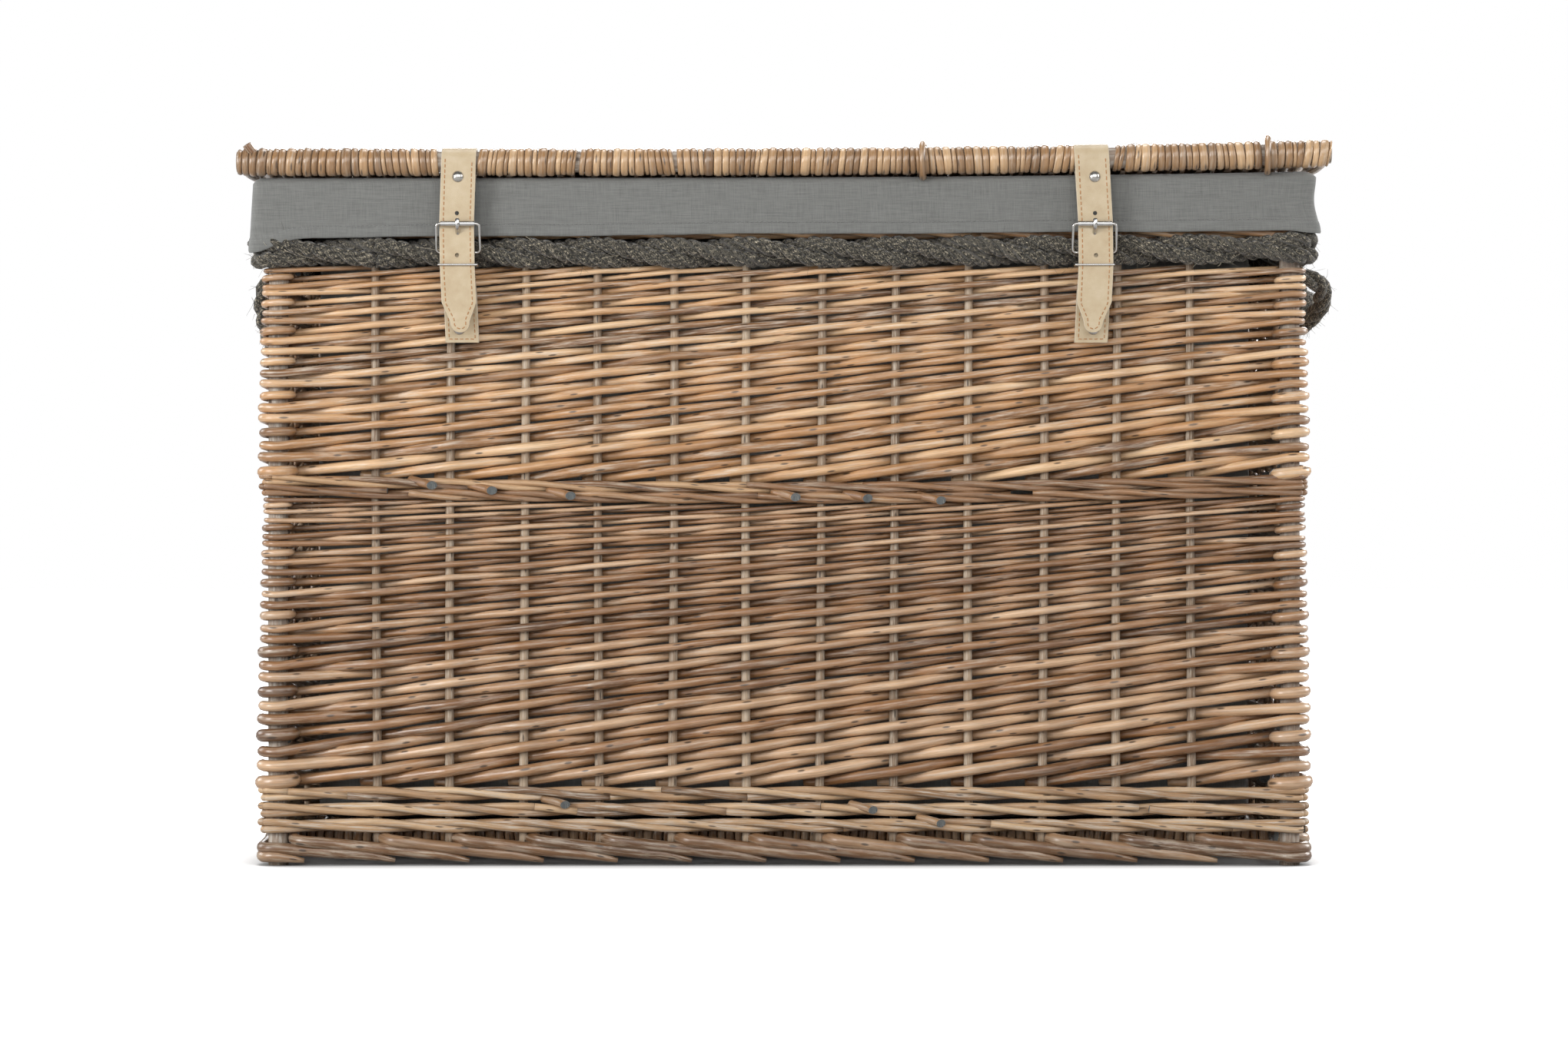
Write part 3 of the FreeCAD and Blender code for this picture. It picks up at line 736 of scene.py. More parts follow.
def uprights():
    z0, z1 = span_z("stakes_front")
    for wall, ks in WALLS.items():
        rods = Rods()
        for k in ks[1:]:
            path = upright_path(STATIONS[k][0], z0 + 12, z1, 1.1)
            radii = np.linspace(STAKE_R + 0.1, STAKE_R - 0.2, len(path))
            rods.add(path, radii, 12, second=0.6 + 0.4 * rng.random())
        piece = rods.build("stakes_" + wall + "_rods", MAT["stake"], MAT["cut"], slot="willow_stake")
        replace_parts(piece, "stakes_" + wall)
    for k, name in zip(CORNERS, ("front_left", "front_right", "back_right", "back_left")):
        rods = Rods()
        path = upright_path(STATIONS[k][0], *span_z("corner_post_" + name), 0.35)
        knots = 1 + 0.02 * np.sin(path[:, 2] / 9.0 + rng.random() * 6)
        rods.add(path, (POST_R - 0.15) * knots / 1.02, 20)
        piece = rods.build("post_" + name, MAT["post"], MAT["cut"], slot="willow_post")
        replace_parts(piece, "corner_post_" + name)


uprights()


# ---- rope
ROPE_LAY = 2.9              # turns of the strands: one in this many diameters


def lay_rope(rods, path, d, start=0.0, sides=9, lay=ROPE_LAY, spread=0.232, swell=0.05):
    """Three strands twisted round a path, for a rope of diameter d."""
    s = arc_lengths(path)
    even = np.linspace(0, s[-1], max(8, int(s[-1] / (lay * d / 10))))
    line = np.stack([np.interp(even, s, path[:, i]) for i in range(3)], 1)
    tangent = unit(np.gradient(line, axis=0))
    side = parallel_frames(tangent)
    other = np.cross(tangent, side)
    strand_r, helix_r = 0.262 * d, spread * d
    for strand in range(3):
        a = start + strand * 2 * np.pi / 3 + even * 2 * np.pi / (lay * d)
        centre = line + (np.cos(a)[:, None] * side + np.sin(a)[:, None] * other) * helix_r
        rough = 1 + swell * np.sin(even / d * 3.1 + strand * 2 + start)
        rods.add(centre, strand_r * rough, sides, start=rng.random() * 900)
    return line


def add_hairs(rods, line, d, count, longest):
    """Loose fibres that stand out of a rope."""
    for i in rng.integers(1, len(line) - 1, count):
        along = unit(line[i + 1] - line[i - 1])
        out = rng.normal(size=3)
        out = unit(out - (out @ along) * along)
        reach = longest * (0.25 + 0.75 * rng.random() ** 2)
        lean = along * rng.normal(0, 0.9) + np.array([0, 0, rng.normal(0, 0.4)])
        p0 = line[i] + out * d * 0.44
        p1 = p0 + (out * 0.35 + lean * 0.5) * reach * 0.5
        p2 = p0 + (out * 0.55 + lean) * reach * 0.8 + rng.normal(0, 0.12, 3) * reach
        rods.add(np.array([p0, (p0 + p1) / 2 + out * 0.3, p1, p2]), [0.17, 0.16, 0.13, 0.07], 3,
                 tone=rng.random() ** 2, close=False)


TRIM_R = 6.2
HANDLE_D = 0.016            # metres
# Back halves of the routes of the handles' loops, for a handle on the right.
HANDLE_ROUTES = {
    "right": [(393.6, 69.0, 453.0), (412.0, 69.0, 453.0), (430.0, 60.0, 450.0), (434.0, 37.0, 432.0),
              (420.0, 12.0, 418.0)],
    "left": [(393.6, 69.0, 453.0), (403.4, 69.0, 453.0), (411.8, 69.0, 447.5), (415.6, 68.0, 437.5),
             (415.0, 61.0, 421.0), (412.0, 45.0, 405.0), (410.0, 25.0, 395.0), (409.0, 8.5, 392.0)],
}


def rope_trim():
    z = sum(span_z("rope_trim")) / 2
    rods, hairs = Rods(), Rods()
    for j in range(3):
        path = closed_curve(wale_strand(j, z, 5.6, TRIM_R, shift=0.9), 10)
        line = lay_rope(rods, path, 2 * TRIM_R, start=j * 0.7, lay=2.5, spread=0.262, swell=0.08)
        add_hairs(hairs, line, 2 * TRIM_R, 1700, 15.0)
    piece = rods.build("rope_trim_ropes", MAT["rope"], MAT["rope"], slot="rope", warp=trim_tilt)
    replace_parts(piece, "rope_trim")
    hairs.build("rope_trim_hairs", MAT["hair"], slot="rope", warp=trim_tilt)


def trim_tilt(points):
    """The trim hangs a little lower in the middle of the front and at its left end."""
    out = points.copy()
    x = points[:, 0] / WALL_X
    front = np.clip((-points[:, 1] - WALL_Y + 40) / 30, 0, 1)
    out[:, 2] += front * (1.4 * x ** 2 - 0.6 + 1.7 * x)
    return out


def spline_points(route):
    """Points along a cord's line: a NURBS curve with the route as its control points."""
    data = bpy.data.curves.new("route", "CURVE")
    data.dimensions = "3D"
    data.resolution_u = 16
    spline = data.splines.new("NURBS")
    spline.points.add(len(route) - 1)
    for point, at in zip(spline.points, route):
        point.co = (*[c * MM for c in at], 1.0)
    spline.order_u = 3
    spline.use_endpoint_u = True
    holder = bpy.data.objects.new("route", data)
    mesh = bpy.data.meshes.new_from_object(holder)
    points = np.array([v.co[:] for v in mesh.vertices])
    bpy.data.objects.remove(holder)
    bpy.data.curves.remove(data)
    bpy.data.meshes.remove(mesh)
    return points


def rope_handles():
    diameter = HANDLE_D / MM
    for name, sign in (("right", 1), ("left", -1)):
        half = [(sign * x, y, z) for x, y, z in HANDLE_ROUTES[name]]
        route = [(x, -y, z) for x, y, z in half] + half[::-1]
        points = spline_points(route)
        rods = Rods()
        line = lay_rope(rods, points / MM, diameter, start=1.0)
        piece = rods.build("handle_rope_" + name, MAT["rope"], MAT["rope"],
                           body="rope_handle_" + name, slot="rope")
        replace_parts(piece, "rope_handle_" + name)
        hairs = Rods()
        add_hairs(hairs, line, diameter, 260, 12.0)
        loose = hairs.build("handle_hairs_" + name, MAT["hair"], body="rope_handle_" + name, slot="rope")
        # Inner run: in through the wall, along its inside to the other hole and out again.
        low, high = box_mm("handle_anchor_" + name)
        r, turn = diameter / 2, sign * 9.0
        mouth, inner = (high[0], low[0] + r) if sign > 0 else (low[0], high[0] - r)
        y, z = high[1] - r, (low[2] + high[2]) / 2
        run = [(mouth, -y, z), (mouth - turn, -y, z), (inner + turn * 0.3, -y + 1.5, z),
               (inner, -y + 9, z), (inner, -y / 2, z)]
        run += [(inner, 0, z)] + [(px, -py, z) for px, py, _ in run[::-1]]
        rods = Rods()
        lay_rope(rods, smooth_through(run, 8), diameter, start=1.0)
        piece = rods.build("handle_inner_" + name, MAT["rope"], MAT["rope"], slot="rope")
        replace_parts(piece, "handle_anchor_" + name)


rope_handles()
rope_trim()


# ---- rim under the cuff
def rim():
    rods = Rods()
    low, high = span_z("rim_border")
    for z in (low + 5.0, high - 5.5):
        wale_rods(rods, z, 4.0, 2.2, shift=-1.6)
    woven(rods, "rim_border", "wale")


rim()


# ---- square weave of the lid and the base
TUCK = 15.0                 # how far from a bare edge stick a rod ends


def weave_rows(rods, rows, edge_y, z, stick_r, inner_ys, inner_r, skips, tilt=0.0, sides=9, fuller=0.2,
               drift=lambda x: 0.0):
    """Rods across the sticks, over and under in turn, each turned round both edge sticks.

    rows are (x, width, thickness). skips(x, side) says where an edge stick is left bare for a
    strap: there the rod ends just short of it. fuller is how much wider the rods are inside,
    and drift(x) how far they move sideways there.
    """
    for i, (x, width, thick) in enumerate(rows):
        sway = tilt * math.sin(i * 0.21) + rng.normal(0, 0.25) * tilt
        points = []

        def turn(y, angles):
            r = stick_r + thick / 2
            for a in map(math.radians, angles):
                points.append((x + sway * math.sin(a) * 0.9, y + r * math.cos(a), z + r * math.sin(a)))

        if skips(x, -1):
            points.append((x, -edge_y + TUCK, z - 1.5))
        else:
            points.append((x - sway, -edge_y + 24, z - inner_r * 0.8))
            turn(-edge_y, (-62, -90, -125, -160, 165, 125, 90, 62))
        for j, y in enumerate(inner_ys):
            up = 1 if (i + j) % 2 == 0 else -1
            points.append((x + drift(x) + rng.normal(0, 0.15), y, z + up * (inner_r + thick * 0.42)))
        if skips(x, 1):
            points.append((x, edge_y - TUCK, z - 1.5))
        else:
            turn(edge_y, (118, 90, 55, 15, -20, -55, -90, -118))
            points.append((x - sway, edge_y - 24, z - inner_r * 0.8))
        path = smooth_through(points, 3)
        inside = np.clip((edge_y - 8 - np.abs(path[:, 1])) / 12, 0, 1)
        # Each row's tone is random, times painted shade that darkens the rows near the left end (x =
        # -LID_X), in the lid and in the base alike.
        rods.add(path, thick / 2, sides, flat=width / thick * (1 + fuller * inside), flat_axis=(1, 0, 0),
                 start=rng.random() * 900,
                 tone=rng.uniform(0.22, 0.85) * (1 - 0.4 * math.exp(-((x + LID_X) / 110.0) ** 2)))


THICK_SHARE = 0.5            # how thick a turned rod is, next to its width


def packed_rows(x0, x1, widths):
    """Rows of the given widths, side by side from x0 to x1."""
    rows, x = [], x0
    while x < x1 - 1.5:
        w = float(rng.choice(widths)) * rng.uniform(0.9, 1.12)
        w = min(w, x1 - x)
        rows.append((x + w / 2, w * 0.97, min(3.0, max(2.1, w * THICK_SHARE)) * rng.uniform(0.92, 1.1)))
        x += w
    return rows


SLOT = 14.6                 # half the gap that the rows leave for a strap
RISE = 6.6                  # how much higher the front right corner is
BARE = [(-155.5, -152.5), (-82.5, -80.0), (247.0, 255.5), (357.0, 361.5)]    # stick left bare


def close_up(x):
    """Sideways move of a row, inside the lid, that closes it over the nearest bare stretches."""
    move = 0.0
    for a, b in BARE:
        if x <= a:
            move += (b - a) / 2 * math.exp((x - a) / 30)
        elif x >= b:
            move -= (b - a) / 2 * math.exp((b - x) / 30)
    return move


def lid_skips(x, side):
    return any(abs(x - c) < SLOT for c in (STRAP_XS if side < 0 else HINGE_XS))


def twist(points):
    """The trunk's top is a little higher at its front right corner."""
    out = points.copy()
    share = np.clip((points[..., 0] + 405) / 810, 0, 1.05) ** 3.4
    out[..., 2] += RISE * share * np.clip((LID_Y - points[..., 1]) / (2 * LID_Y), 0, 1.05)
    return out


def inner_stick_places(node):
    """The y of each of the nine inner sticks, and their radius."""
    low, high = box_mm(node)
    r = (high[2] - low[2]) / 2
    return np.linspace(low[1] + r, high[1] - r, 9), r


def in_lid(rods, name, look, slot, warp=twist):
    return rods.build(name, MAT[look], MAT["cut"], body="lid", slot=slot, warp=warp)


def lid_rows(ys, thin_r):
    edge = LID_X - 1.2
    # Rows fill each stretch between the straps' gaps, so that no row sits half in a gap.
    stops = [-edge, edge] + [c + s * SLOT for c in (*STRAP_XS, *HINGE_XS) for s in (-1, 1)]
    stops = sorted(stops + [x for gap in BARE for x in gap])
    rows = []
    for a, b in zip(stops, stops[1:]):
        if b - a > 1.4 and (a, b) not in BARE:
            rows += packed_rows(a, b, (3.4, 4.2, 4.8, 5.2, 5.6, 6.2, 7.0))
    quarter = math.ceil(len(rows) / 4)
    # The last two quarters have a proud rod each, bent round the front stick.
    proud_xs = {2: 104.0, 3: 362.0}
    pieces = []
    for q in range(4):
        rods = Rods()
        weave_rows(rods, rows[q * quarter:(q + 1) * quarter], LID_Y, LID_Z, LID_R, ys, thin_r, lid_skips,
                   tilt=1.3, fuller=0.5, drift=close_up)
        if q in proud_xs:
            turn = circle(range(60, 320, 20), LID_R + 5.2, -LID_Y, LID_Z)
            extra = [(proud_xs[q] + 0.05 * (i - 6) ** 2 - 1, *p) for i, p in enumerate(turn)]
            rods.add(smooth_through(extra, 3), 2.4, 10, tone=0.35)
        pieces.append(in_lid(rods, "lid_rows_" + "abcd"[q], "lid", "willow_lid"))
    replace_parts(pieces[0], "lid_weave", "lid_wraps_front", "lid_wraps_back")


def lid():
    ys, inner_r = inner_stick_places("lid_inner_sticks")
    thin_r = inner_r * 0.7          # the sticks look thinner than their solids, for a tighter weave
    lid_rows(ys, thin_r)
    rods = Rods()
    for sign in (-1, 1):
        for dz, r, reach in ((4.6, 2.3, 244), (-4.6, 2.2, 240), (0.0, 2.4, 246)):
            y = np.linspace(-reach, reach, 50)
            path = joined(sign * (LID_X - 2.4) + 0.4 * np.sin(y / 31.0 + dz), y,
                          LID_Z + dz + 1.1 * np.sin(y / 26.0 * (1 if dz else -1)))
            rods.add(path, r, 9)
    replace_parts(in_lid(rods, "lid_end_rods_woven", "lid", "willow_lid"), "lid_end_rods")
    rods = Rods()
    rods.add(smooth_through([(-396.0, -LID_Y - 4, LID_Z + 5), (-399.5, -LID_Y - 6.5, LID_Z + 9.5),
                             (-401.5, -LID_Y - 7.5, LID_Z + 12.5)], 4), 3.3, 12, tone=0.05)
    rods.build("lid_butt_end", MAT["wale"], MAT["wale"], body="lid", slot="willow_lid")
    for name, y in (("front", -LID_Y), ("back", LID_Y)):
        rods = Rods()
        x = np.linspace(-LID_X + 0.5, LID_X - 0.5, 120)
        rods.add(joined(x, y, LID_Z), LID_R - 0.05, 24, tone=0.45)
        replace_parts(in_lid(rods, "lid_stick_" + name, "post", "willow_post"), "lid_" + name + "_stick")
    rods = Rods()
    low, high = box_mm("lid_inner_sticks")
    x = np.linspace(low[0], high[0], 60)
    for y in ys:
        rods.add(joined(x, y, LID_Z + 0.2 * np.sin(x / 60)), thin_r, 12)
    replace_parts(in_lid(rods, "lid_inner_stick_rods", "post", "willow_post"), "lid_inner_sticks")


lid()


def base():
    low, high = box_mm("base_edge_sticks")
    r = (high[2] - low[2]) / 2
    z, y = (low[2] + high[2]) / 2, high[1] - r
    ys, inner_r = inner_stick_places("base_inner_sticks")
    rows = packed_rows(low[0] + 1, high[0] - 1, (6.5, 7.0, 7.6))
    half = len(rows) // 2
    pieces = []
    for name, part in (("left", rows[:half]), ("right", rows[half:])):
        rods = Rods()
        weave_rows(rods, part, y, z, r, ys, inner_r, lambda x, side: False, tilt=0.8, sides=8)
        pieces.append(rods.build("base_rows_" + name, MAT["lower"], MAT["cut"], slot="willow_weave"))
    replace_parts(pieces[0], "base_weave")
    x = np.linspace(low[0], high[0], 60)
    for kind, places, stick_r, sides in (("edge", (-y, y), r - 0.1, 14), ("inner", ys, inner_r - 0.2, 12)):
        rods = Rods()
        for stick_y in places:
            rods.add(joined(x, stick_y, z), stick_r, sides)
        piece = rods.build("base_" + kind + "_rods", MAT["post"], MAT["cut"], slot="willow_post")
        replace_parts(piece, "base_" + kind + "_sticks")


base()


# ---- liner
def rounded_ring(half_x, half_y, r, step):
    """Points and outward normals round a rectangle with rounded corners, from front right."""
    points, normals = [], []
    corners = [(1, -1, -90), (1, 1, 0), (-1, 1, 90), (-1, -1, 180)]
    arc = max(4, int(r * math.pi / 2 / step) + 1)
    for (sx, sy, start), (next_x, next_y, _) in zip(corners, corners[1:] + corners[:1]):
        for i in range(arc + 1):
            a = math.radians(start + 90 * i / arc)
            points.append((sx * (half_x - r) + r * math.cos(a), sy * (half_y - r) + r * math.sin(a)))
            normals.append((math.cos(a), math.sin(a)))
        (from_x, from_y), out = points[-1], normals[-1]
        run_x = next_x * (half_x - r) + r * out[0] - from_x
        run_y = next_y * (half_y - r) + r * out[1] - from_y
        count = int(math.hypot(run_x, run_y) / step)
        points += [(from_x + run_x * i / count, from_y + run_y * i / count) for i in range(1, count)]
        normals += [out] * (count - 1)
    return np.array(points), np.array(normals)


def soft_noise(x, y, seed):
    """Smooth made-up unevenness from a few waves."""
    local = np.random.default_rng(seed)
    out = np.zeros(np.broadcast(x, y).shape)
    for scale in (150, 90, 55, 31):
        kx, ky = local.normal(0, 1, 2)
        out = out + np.sin((kx * x + ky * y * 0.5) / scale * 2 + local.random() * 6.28) * scale / 150
    return out / 2


CROWN = 2.2                 # how much the cuff's fold bulges up towards the lid
HEM_Z = 474.2               # lower edge of the cuff, apart from its droop
HEM_SEAM = 8.6              # how far above the edge the hem is sewn
INNER_X, INNER_Y = 354.5, 223.5     # the liner's walls inside the trunk, clear of the handles' inner runs
FLOOR_X, FLOOR_Y, FLOOR_Z = 348, 219, 34.0


def cloth_mesh(name, grid, closed=True):
    index, a, b = grid_index(*grid.shape[:2])
    if closed:
        quads = tube_quads(a, b)
    else:
        quads = np.stack([a[:, :-1], a[:, 1:], b[:, 1:], b[:, :-1]], -1).reshape(-1, 4).tolist()
    return place(name, make_mesh(name, grid, quads, {}, [MAT["linen"]]), "basket")


def near_corner(x, y, side, reach):
    """1 at the cuff's front corner on that side, falling to 0 around it."""
    return np.exp(-((x - side * 399) ** 2 + (y + 258) ** 2) / reach ** 2)


def hem_z(x, y):
    """Lower edge of the cuff: nearly level, drooping at the front left corner."""
    z = HEM_Z + 2.8 * x / WALL_X * (y < 0) + 0.7 * soft_noise(x + y, y, 3)
    return z - 11.0 * near_corner(x, y, -1, 22.0) - 3.0 * near_corner(x, y, 1, 16.0)


def along_ring(points, normals):
    return points[:, 0] * np.abs(normals[:, 1]) + points[:, 1] * np.abs(normals[:, 0])


def cuff_front(points, normals, z, hem, top):
    """How far the cuff stands out at height z: soft folds, fuller near its hem and corners."""
    x, y = points[:, 0], points[:, 1]
    down = np.clip((top - z) / (top - hem), 0, 1)
    fold = 0.8 * soft_noise(along_ring(points, normals), z * 0.6, 5) * (0.35 + down)
    for strap_x in STRAP_XS:
        fold -= 0.9 * np.exp(-((x - strap_x) / 26.0) ** 2) * (y < 0) * down
    left, right = near_corner(x, y, -1, 40.0), near_corner(x, y, 1, 34.0)
    pinch = 1.5 * np.cos(2.1 * math.pi * down) * right + 0.5 * left
    return fold + 0.7 * down + 2.6 * (left + right) * down + pinch


def liner():
    """One sheet: up the cuff from its hem, over the rim and down the inside to the floor."""
    out_x, out_y, top = box_mm("liner")[1] - (1.5, 1.5, 0.7)
    rim_x, rim_y = WALL_X - 15.5, WALL_Y - 15.5
    ring, normals = rounded_ring(out_x, out_y, 7.0, 5.0)
    low = hem_z(ring[:, 0], ring[:, 1])
    rows = []

    def outer(off, z):
        rows.append(joined(*(ring + normals * np.reshape(off, (-1, 1))).T, z))

    def cuff(f, bulge=0.0):
        z = low + (top - 2.5 - low) * f
        outer(cuff_front(ring, normals, z, low, top) + bulge, z)

    def inner(half_x, half_y, z, ripple):
        points = ring * np.array([half_x / out_x, half_y / out_y])
        run = along_ring(points, normals)
        wave = ripple * (0.6 * np.sin(run / 23.0 + z / 90.0) + soft_noise(run, z, 9))
        rows.append(joined(*(points - normals * (np.abs(wave) + 0.2)[:, None]).T, z))

    outer(-1.6, low + 7.5)
    outer(-0.9, low + 0.8)
    for f, bulge in ((0.0, 0.0), (0.03, 0.55), (0.10, 0.62), (0.19, 0.55), (0.215, 0.12), (0.24, 0.0)):
        cuff(f, bulge)
    for f in np.linspace(0.3, 1.0, 12):
        cuff(f)
    outer(-1.2, top + 0.2)
    outer(-6.0, top + CROWN)
    for f in (0.35, 0.7):
        inner(out_x + (rim_x - out_x) * f, out_y + (rim_y - out_y) * f, top + CROWN - f * 0.5, 0.0)
    inner(rim_x, rim_y, top - 3.0, 0.2)
    inner(rim_x - 0.5, rim_y, 500.0, 0.8)
    inner(INNER_X + 2, INNER_Y, 482.0, 1.2)
    for z in np.linspace(458, 45, 26):
        inner(INNER_X - 1.0, INNER_Y - 0.5, z, 1.5)
    inner(INNER_X - 3, INNER_Y - 3, FLOOR_Z + 2.0, 0.4)
    inner(INNER_X - 9, INNER_Y - 9, FLOOR_Z + 0.2, 0.2)
    grid = np.array(rows)
    grid += np.clip((grid[..., 2:] - 480) / 30, 0, 1) * (twist(grid) - grid) * 0.8
    walls = cloth_mesh("liner_cloth", grid)
    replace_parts(walls, "liner")
    x, y = np.meshgrid(np.linspace(-FLOOR_X, FLOOR_X, 90), np.linspace(-FLOOR_Y, FLOOR_Y, 58))
    z = FLOOR_Z + 0.5 * np.abs(soft_noise(x, y * 2, 21)) + 0.3 * np.abs(np.sin(x / 41.0) * np.cos(y / 37.0))
    floor = cloth_mesh("liner_floor", np.stack([x, y, z], -1), closed=False)
    hem_stitches(ring, normals, low, top)


def hem_stitches(ring, normals, low, top):
    """Short thread stitches that hold the cuff's hem."""
    rods = Rods()
    face = cuff_front(ring, normals, low + HEM_SEAM, low, top) + 0.42
    track = np.column_stack([ring, normals, low + HEM_SEAM, face])
    track = np.vstack([track, track[:1]])
    s = arc_lengths(track[:, :2])
    for at in np.arange(1.0, s[-1] - 3.4, 3.4):
        points = []
        for d, sink in ((0.0, -0.35), (0.5, 0.0), (1.1, 0.05), (1.7, 0.0), (2.2, -0.35)):
            x, y, out_x, out_y, z, off = [np.interp(at + d, s, column) for column in track.T]
            points.append((x + out_x * (off + sink), y + out_y * (off + sink), z))
        rods.add(points, 0.24, 4)
    rods.build("hem_stitches", MAT["hem_thread"], slot="linen")


liner()


# ---- leather
def ribbon(line, half_widths, thick):
    """Leather strip with softened edges: line is its middle, as (y, z), half_widths along it."""
    line = np.asarray(line, float)
    tangent = unit(np.gradient(line, axis=0))
    normal = np.stack([tangent[:, 1], -tangent[:, 0]], 1)
    b, h = 0.45, thick / 2
    profile = [(-1, -b - 0.5, h), (-1, -b, h), (-1, -0.12, h - 0.12), (-1, 0, h - b), (-1, 0, -h + b),
               (-1, -0.12, -h + 0.12), (-1, -b, -h), (-1, -b - 0.5, -h)]
    profile += [(1, inset, lift) for _, inset, lift in profile[::-1]]
    edge_flag = [0, 0.3, 1, 1, 1, 1, 0.3, 0]
    edge_flag += edge_flag[::-1]
    columns = [joined(sign * (np.asarray(half_widths) + inset), *(line + normal * lift).T)
               for sign, inset, lift in profile]
    return np.stack(columns, 1), np.tile(np.array(edge_flag, float), (len(line), 1))


LEATHER = 2.2               # thickness of the lid straps and hinge straps
LOWER_LEATHER = 2.0
STRAP_WALL = WALL_Y + 11.8  # outermost weavers, on which a strap lies
# How far each buckled strap leans sideways at these heights.
LEAN_Z = (390.0, 400.0, 450.0, 482.0, 540.0)
LEANS = {"left": (2.4, 2.0, -0.5, -0.9, 0.9), "right": (-2.0, -1.3, 1.0, 0.6, -2.8)}


def leaning(side):
    def warp(points):
        out = points.copy()
        out[..., 0] += np.interp(points[..., 2], LEAN_Z, LEANS[side])
        high = np.clip((points[..., 2] - 503) / 20, 0, 1)
        out[..., 2] += high * (twist(points)[..., 2] - points[..., 2])
        return out
    return warp


def leather_mesh(name, grid, edge, x, body, warp=None):
    moved = grid + np.array([x, 0, 0])
    if warp:
        moved = warp(moved)
    index, a, b = grid_index(*grid.shape[:2])
    quads = np.stack([a, b, np.roll(b, -1, 1), np.roll(a, -1, 1)], -1).reshape(-1, 4).tolist()
    for row, order in ((0, 1), (-1, -1)):
        loop = index[row].tolist()
        for j in range(len(loop) // 2 - 1):
            quads.append([loop[j], loop[j + 1], loop[-2 - j], loop[-1 - j]][::order])
    mesh = make_mesh(name, moved, quads, {"edge": edge}, [MAT["leather"]])
    mesh.validate()
    return place(name, mesh, body)


def punch(piece, holes, depth=14.0):
    """Cut holes (x, y, z, r, tall) into a strap, along Y: round, or drawn out by tall."""
    tool = bpy.data.meshes.new("punch")
    bm = bmesh.new()
    for x, y, z, r, tall in holes:
        made = bmesh.ops.create_cone(bm, cap_ends=True, segments=20, radius1=r * MM, radius2=r * MM,
                                     depth=depth * MM)
        for v in made["verts"]:
            stretch = math.copysign(tall / 2 * MM, v.co.y)
            v.co = (v.co.x + x * MM, v.co.z + y * MM, v.co.y + stretch + z * MM)
    bmesh.ops.recalc_face_normals(bm, faces=bm.faces)
    bm.to_mesh(tool)
    bm.free()
    # The cut faces take the near-black hole colour: painted shade inside each hole.
    tool.materials.append(MAT["hole"])
    cutter = add_object("punch", tool)
    modifier = piece.modifiers.new("punch", "BOOLEAN")
    modifier.object = cutter
    modifier.operation = "DIFFERENCE"
    modifier.solver = "EXACT"
    modifier.material_mode = "TRANSFER"
    graph = bpy.context.evaluated_depsgraph_get()
    cut = bpy.data.meshes.new_from_object(piece.evaluated_get(graph))
    piece.modifiers.clear()
    piece.data = cut
    bpy.data.objects.remove(cutter)
    bpy.data.meshes.remove(tool)


def sew(rods, outline, x, face):
    """Thread stitches along an outline of (x, z) points; face(z) gives the surface's y."""
    xs, zs = np.array(outline, float).T
    s = arc_lengths(np.stack([xs, zs], 1))
    for at in np.arange(0.5, s[-1] - 2.6, 4.0):
        line = []
        for d, sink in ((0.0, 0.5), (0.3, 0.0), (1.2, -0.1), (2.1, 0.0), (2.4, 0.5)):
            z = np.interp(at + d, s, zs)
            y = face(z)
            line.append((x + np.interp(at + d, s, xs), y + math.copysign(sink, -y), z))
        rods.add(line, 0.46, 5)


def smooth_line(points):
    """Smooth curve through (y, z) points."""
    return smooth_through([(*p, 0) for p in points], 4)[:, :2].tolist()


def lid_straps():
    half, tip = STRAP_HALF, strap_low[2]
    t = LEATHER
    mid_r = strap_high[2] - LID_Z - t / 2
    front_y = -LID_Y - mid_r
    taper, nose = tip + 22.4, 8.0
    nose_z, nose_half = tip + nose, 7.3
    down = [(front_y, z) for z in LID_Z - np.linspace(0, LID_Z - taper, 40)]
    widths = [half] * len(down)
    # Tongue: straight taper, then a round tip.
    for z in np.linspace(taper - 2, nose_z, 6):
        down.append((front_y, z))
        widths.append(half + (nose_half - half) * min(1, (taper - z) / (taper - nose_z)))
    for a in map(math.radians, np.linspace(12, 90, 9)):
        down.append((front_y, tip + nose * (1 - math.sin(a))))
        widths.append(max(0.9, nose_half * math.cos(a) ** 0.8))
    loop = circle(np.linspace(-97, 178, 40), mid_r, -LID_Y, LID_Z)
    lap_y = front_y + t + 0.05
    lap = [(lap_y, 505.4), (lap_y, 511), (lap_y, LID_Z - mid_r - 6.0), (lap_y + 0.4, LID_Z - mid_r - 3.2)]
    line = smooth_line(lap + loop[1:3])[:-1] + loop[2:] + down
    widths = [half] * (len(line) - len(down)) + widths
    inset, tip_r = half - 3.0, nose_half - 2.9
    outline = [(-inset, LID_Z + 2), (-inset, taper - 0.5), (-tip_r, nose_z + 2.0)]
    outline += circle(np.linspace(200, 340, 7), tip_r, 0, nose_z - 1.0)
    outline += [(-px, pz) for px, pz in outline[:3][::-1]]
    for name, x in zip(SIDES, STRAP_XS):
        body, warp = "lid_strap_" + name, leaning(name)
        piece = leather_mesh("lid_strap_leather_" + name, *ribbon(line, widths, t), x, body, warp)
        # Two holes go through; the lowest hole and the dimple below the rivet are blind. All of them take
        # the near-black hole colour, which is painted shade.
        lean = np.interp((489.0, 474.2, 457.6, 507.0), LEAN_Z, LEANS[name])
        punch(piece, [(x + lean[0], front_y, 489.0, 1.6, 0), (x + lean[1], front_y, 473.9, 1.7, 1)])
        blind = front_y - t / 2
        punch(piece, [(x + lean[2], blind, 457.6, 1.6, 0), (x + lean[3], blind, 507.2, 1.1, 0)], depth=3.4)
        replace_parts(piece, "lid_strap_" + name)
        rods = Rods()
        sew(rods, outline, x, lambda z: front_y - t / 2)
        rods.build("lid_strap_thread_" + name, MAT["thread"], body=body, slot="strap_leather", warp=warp)


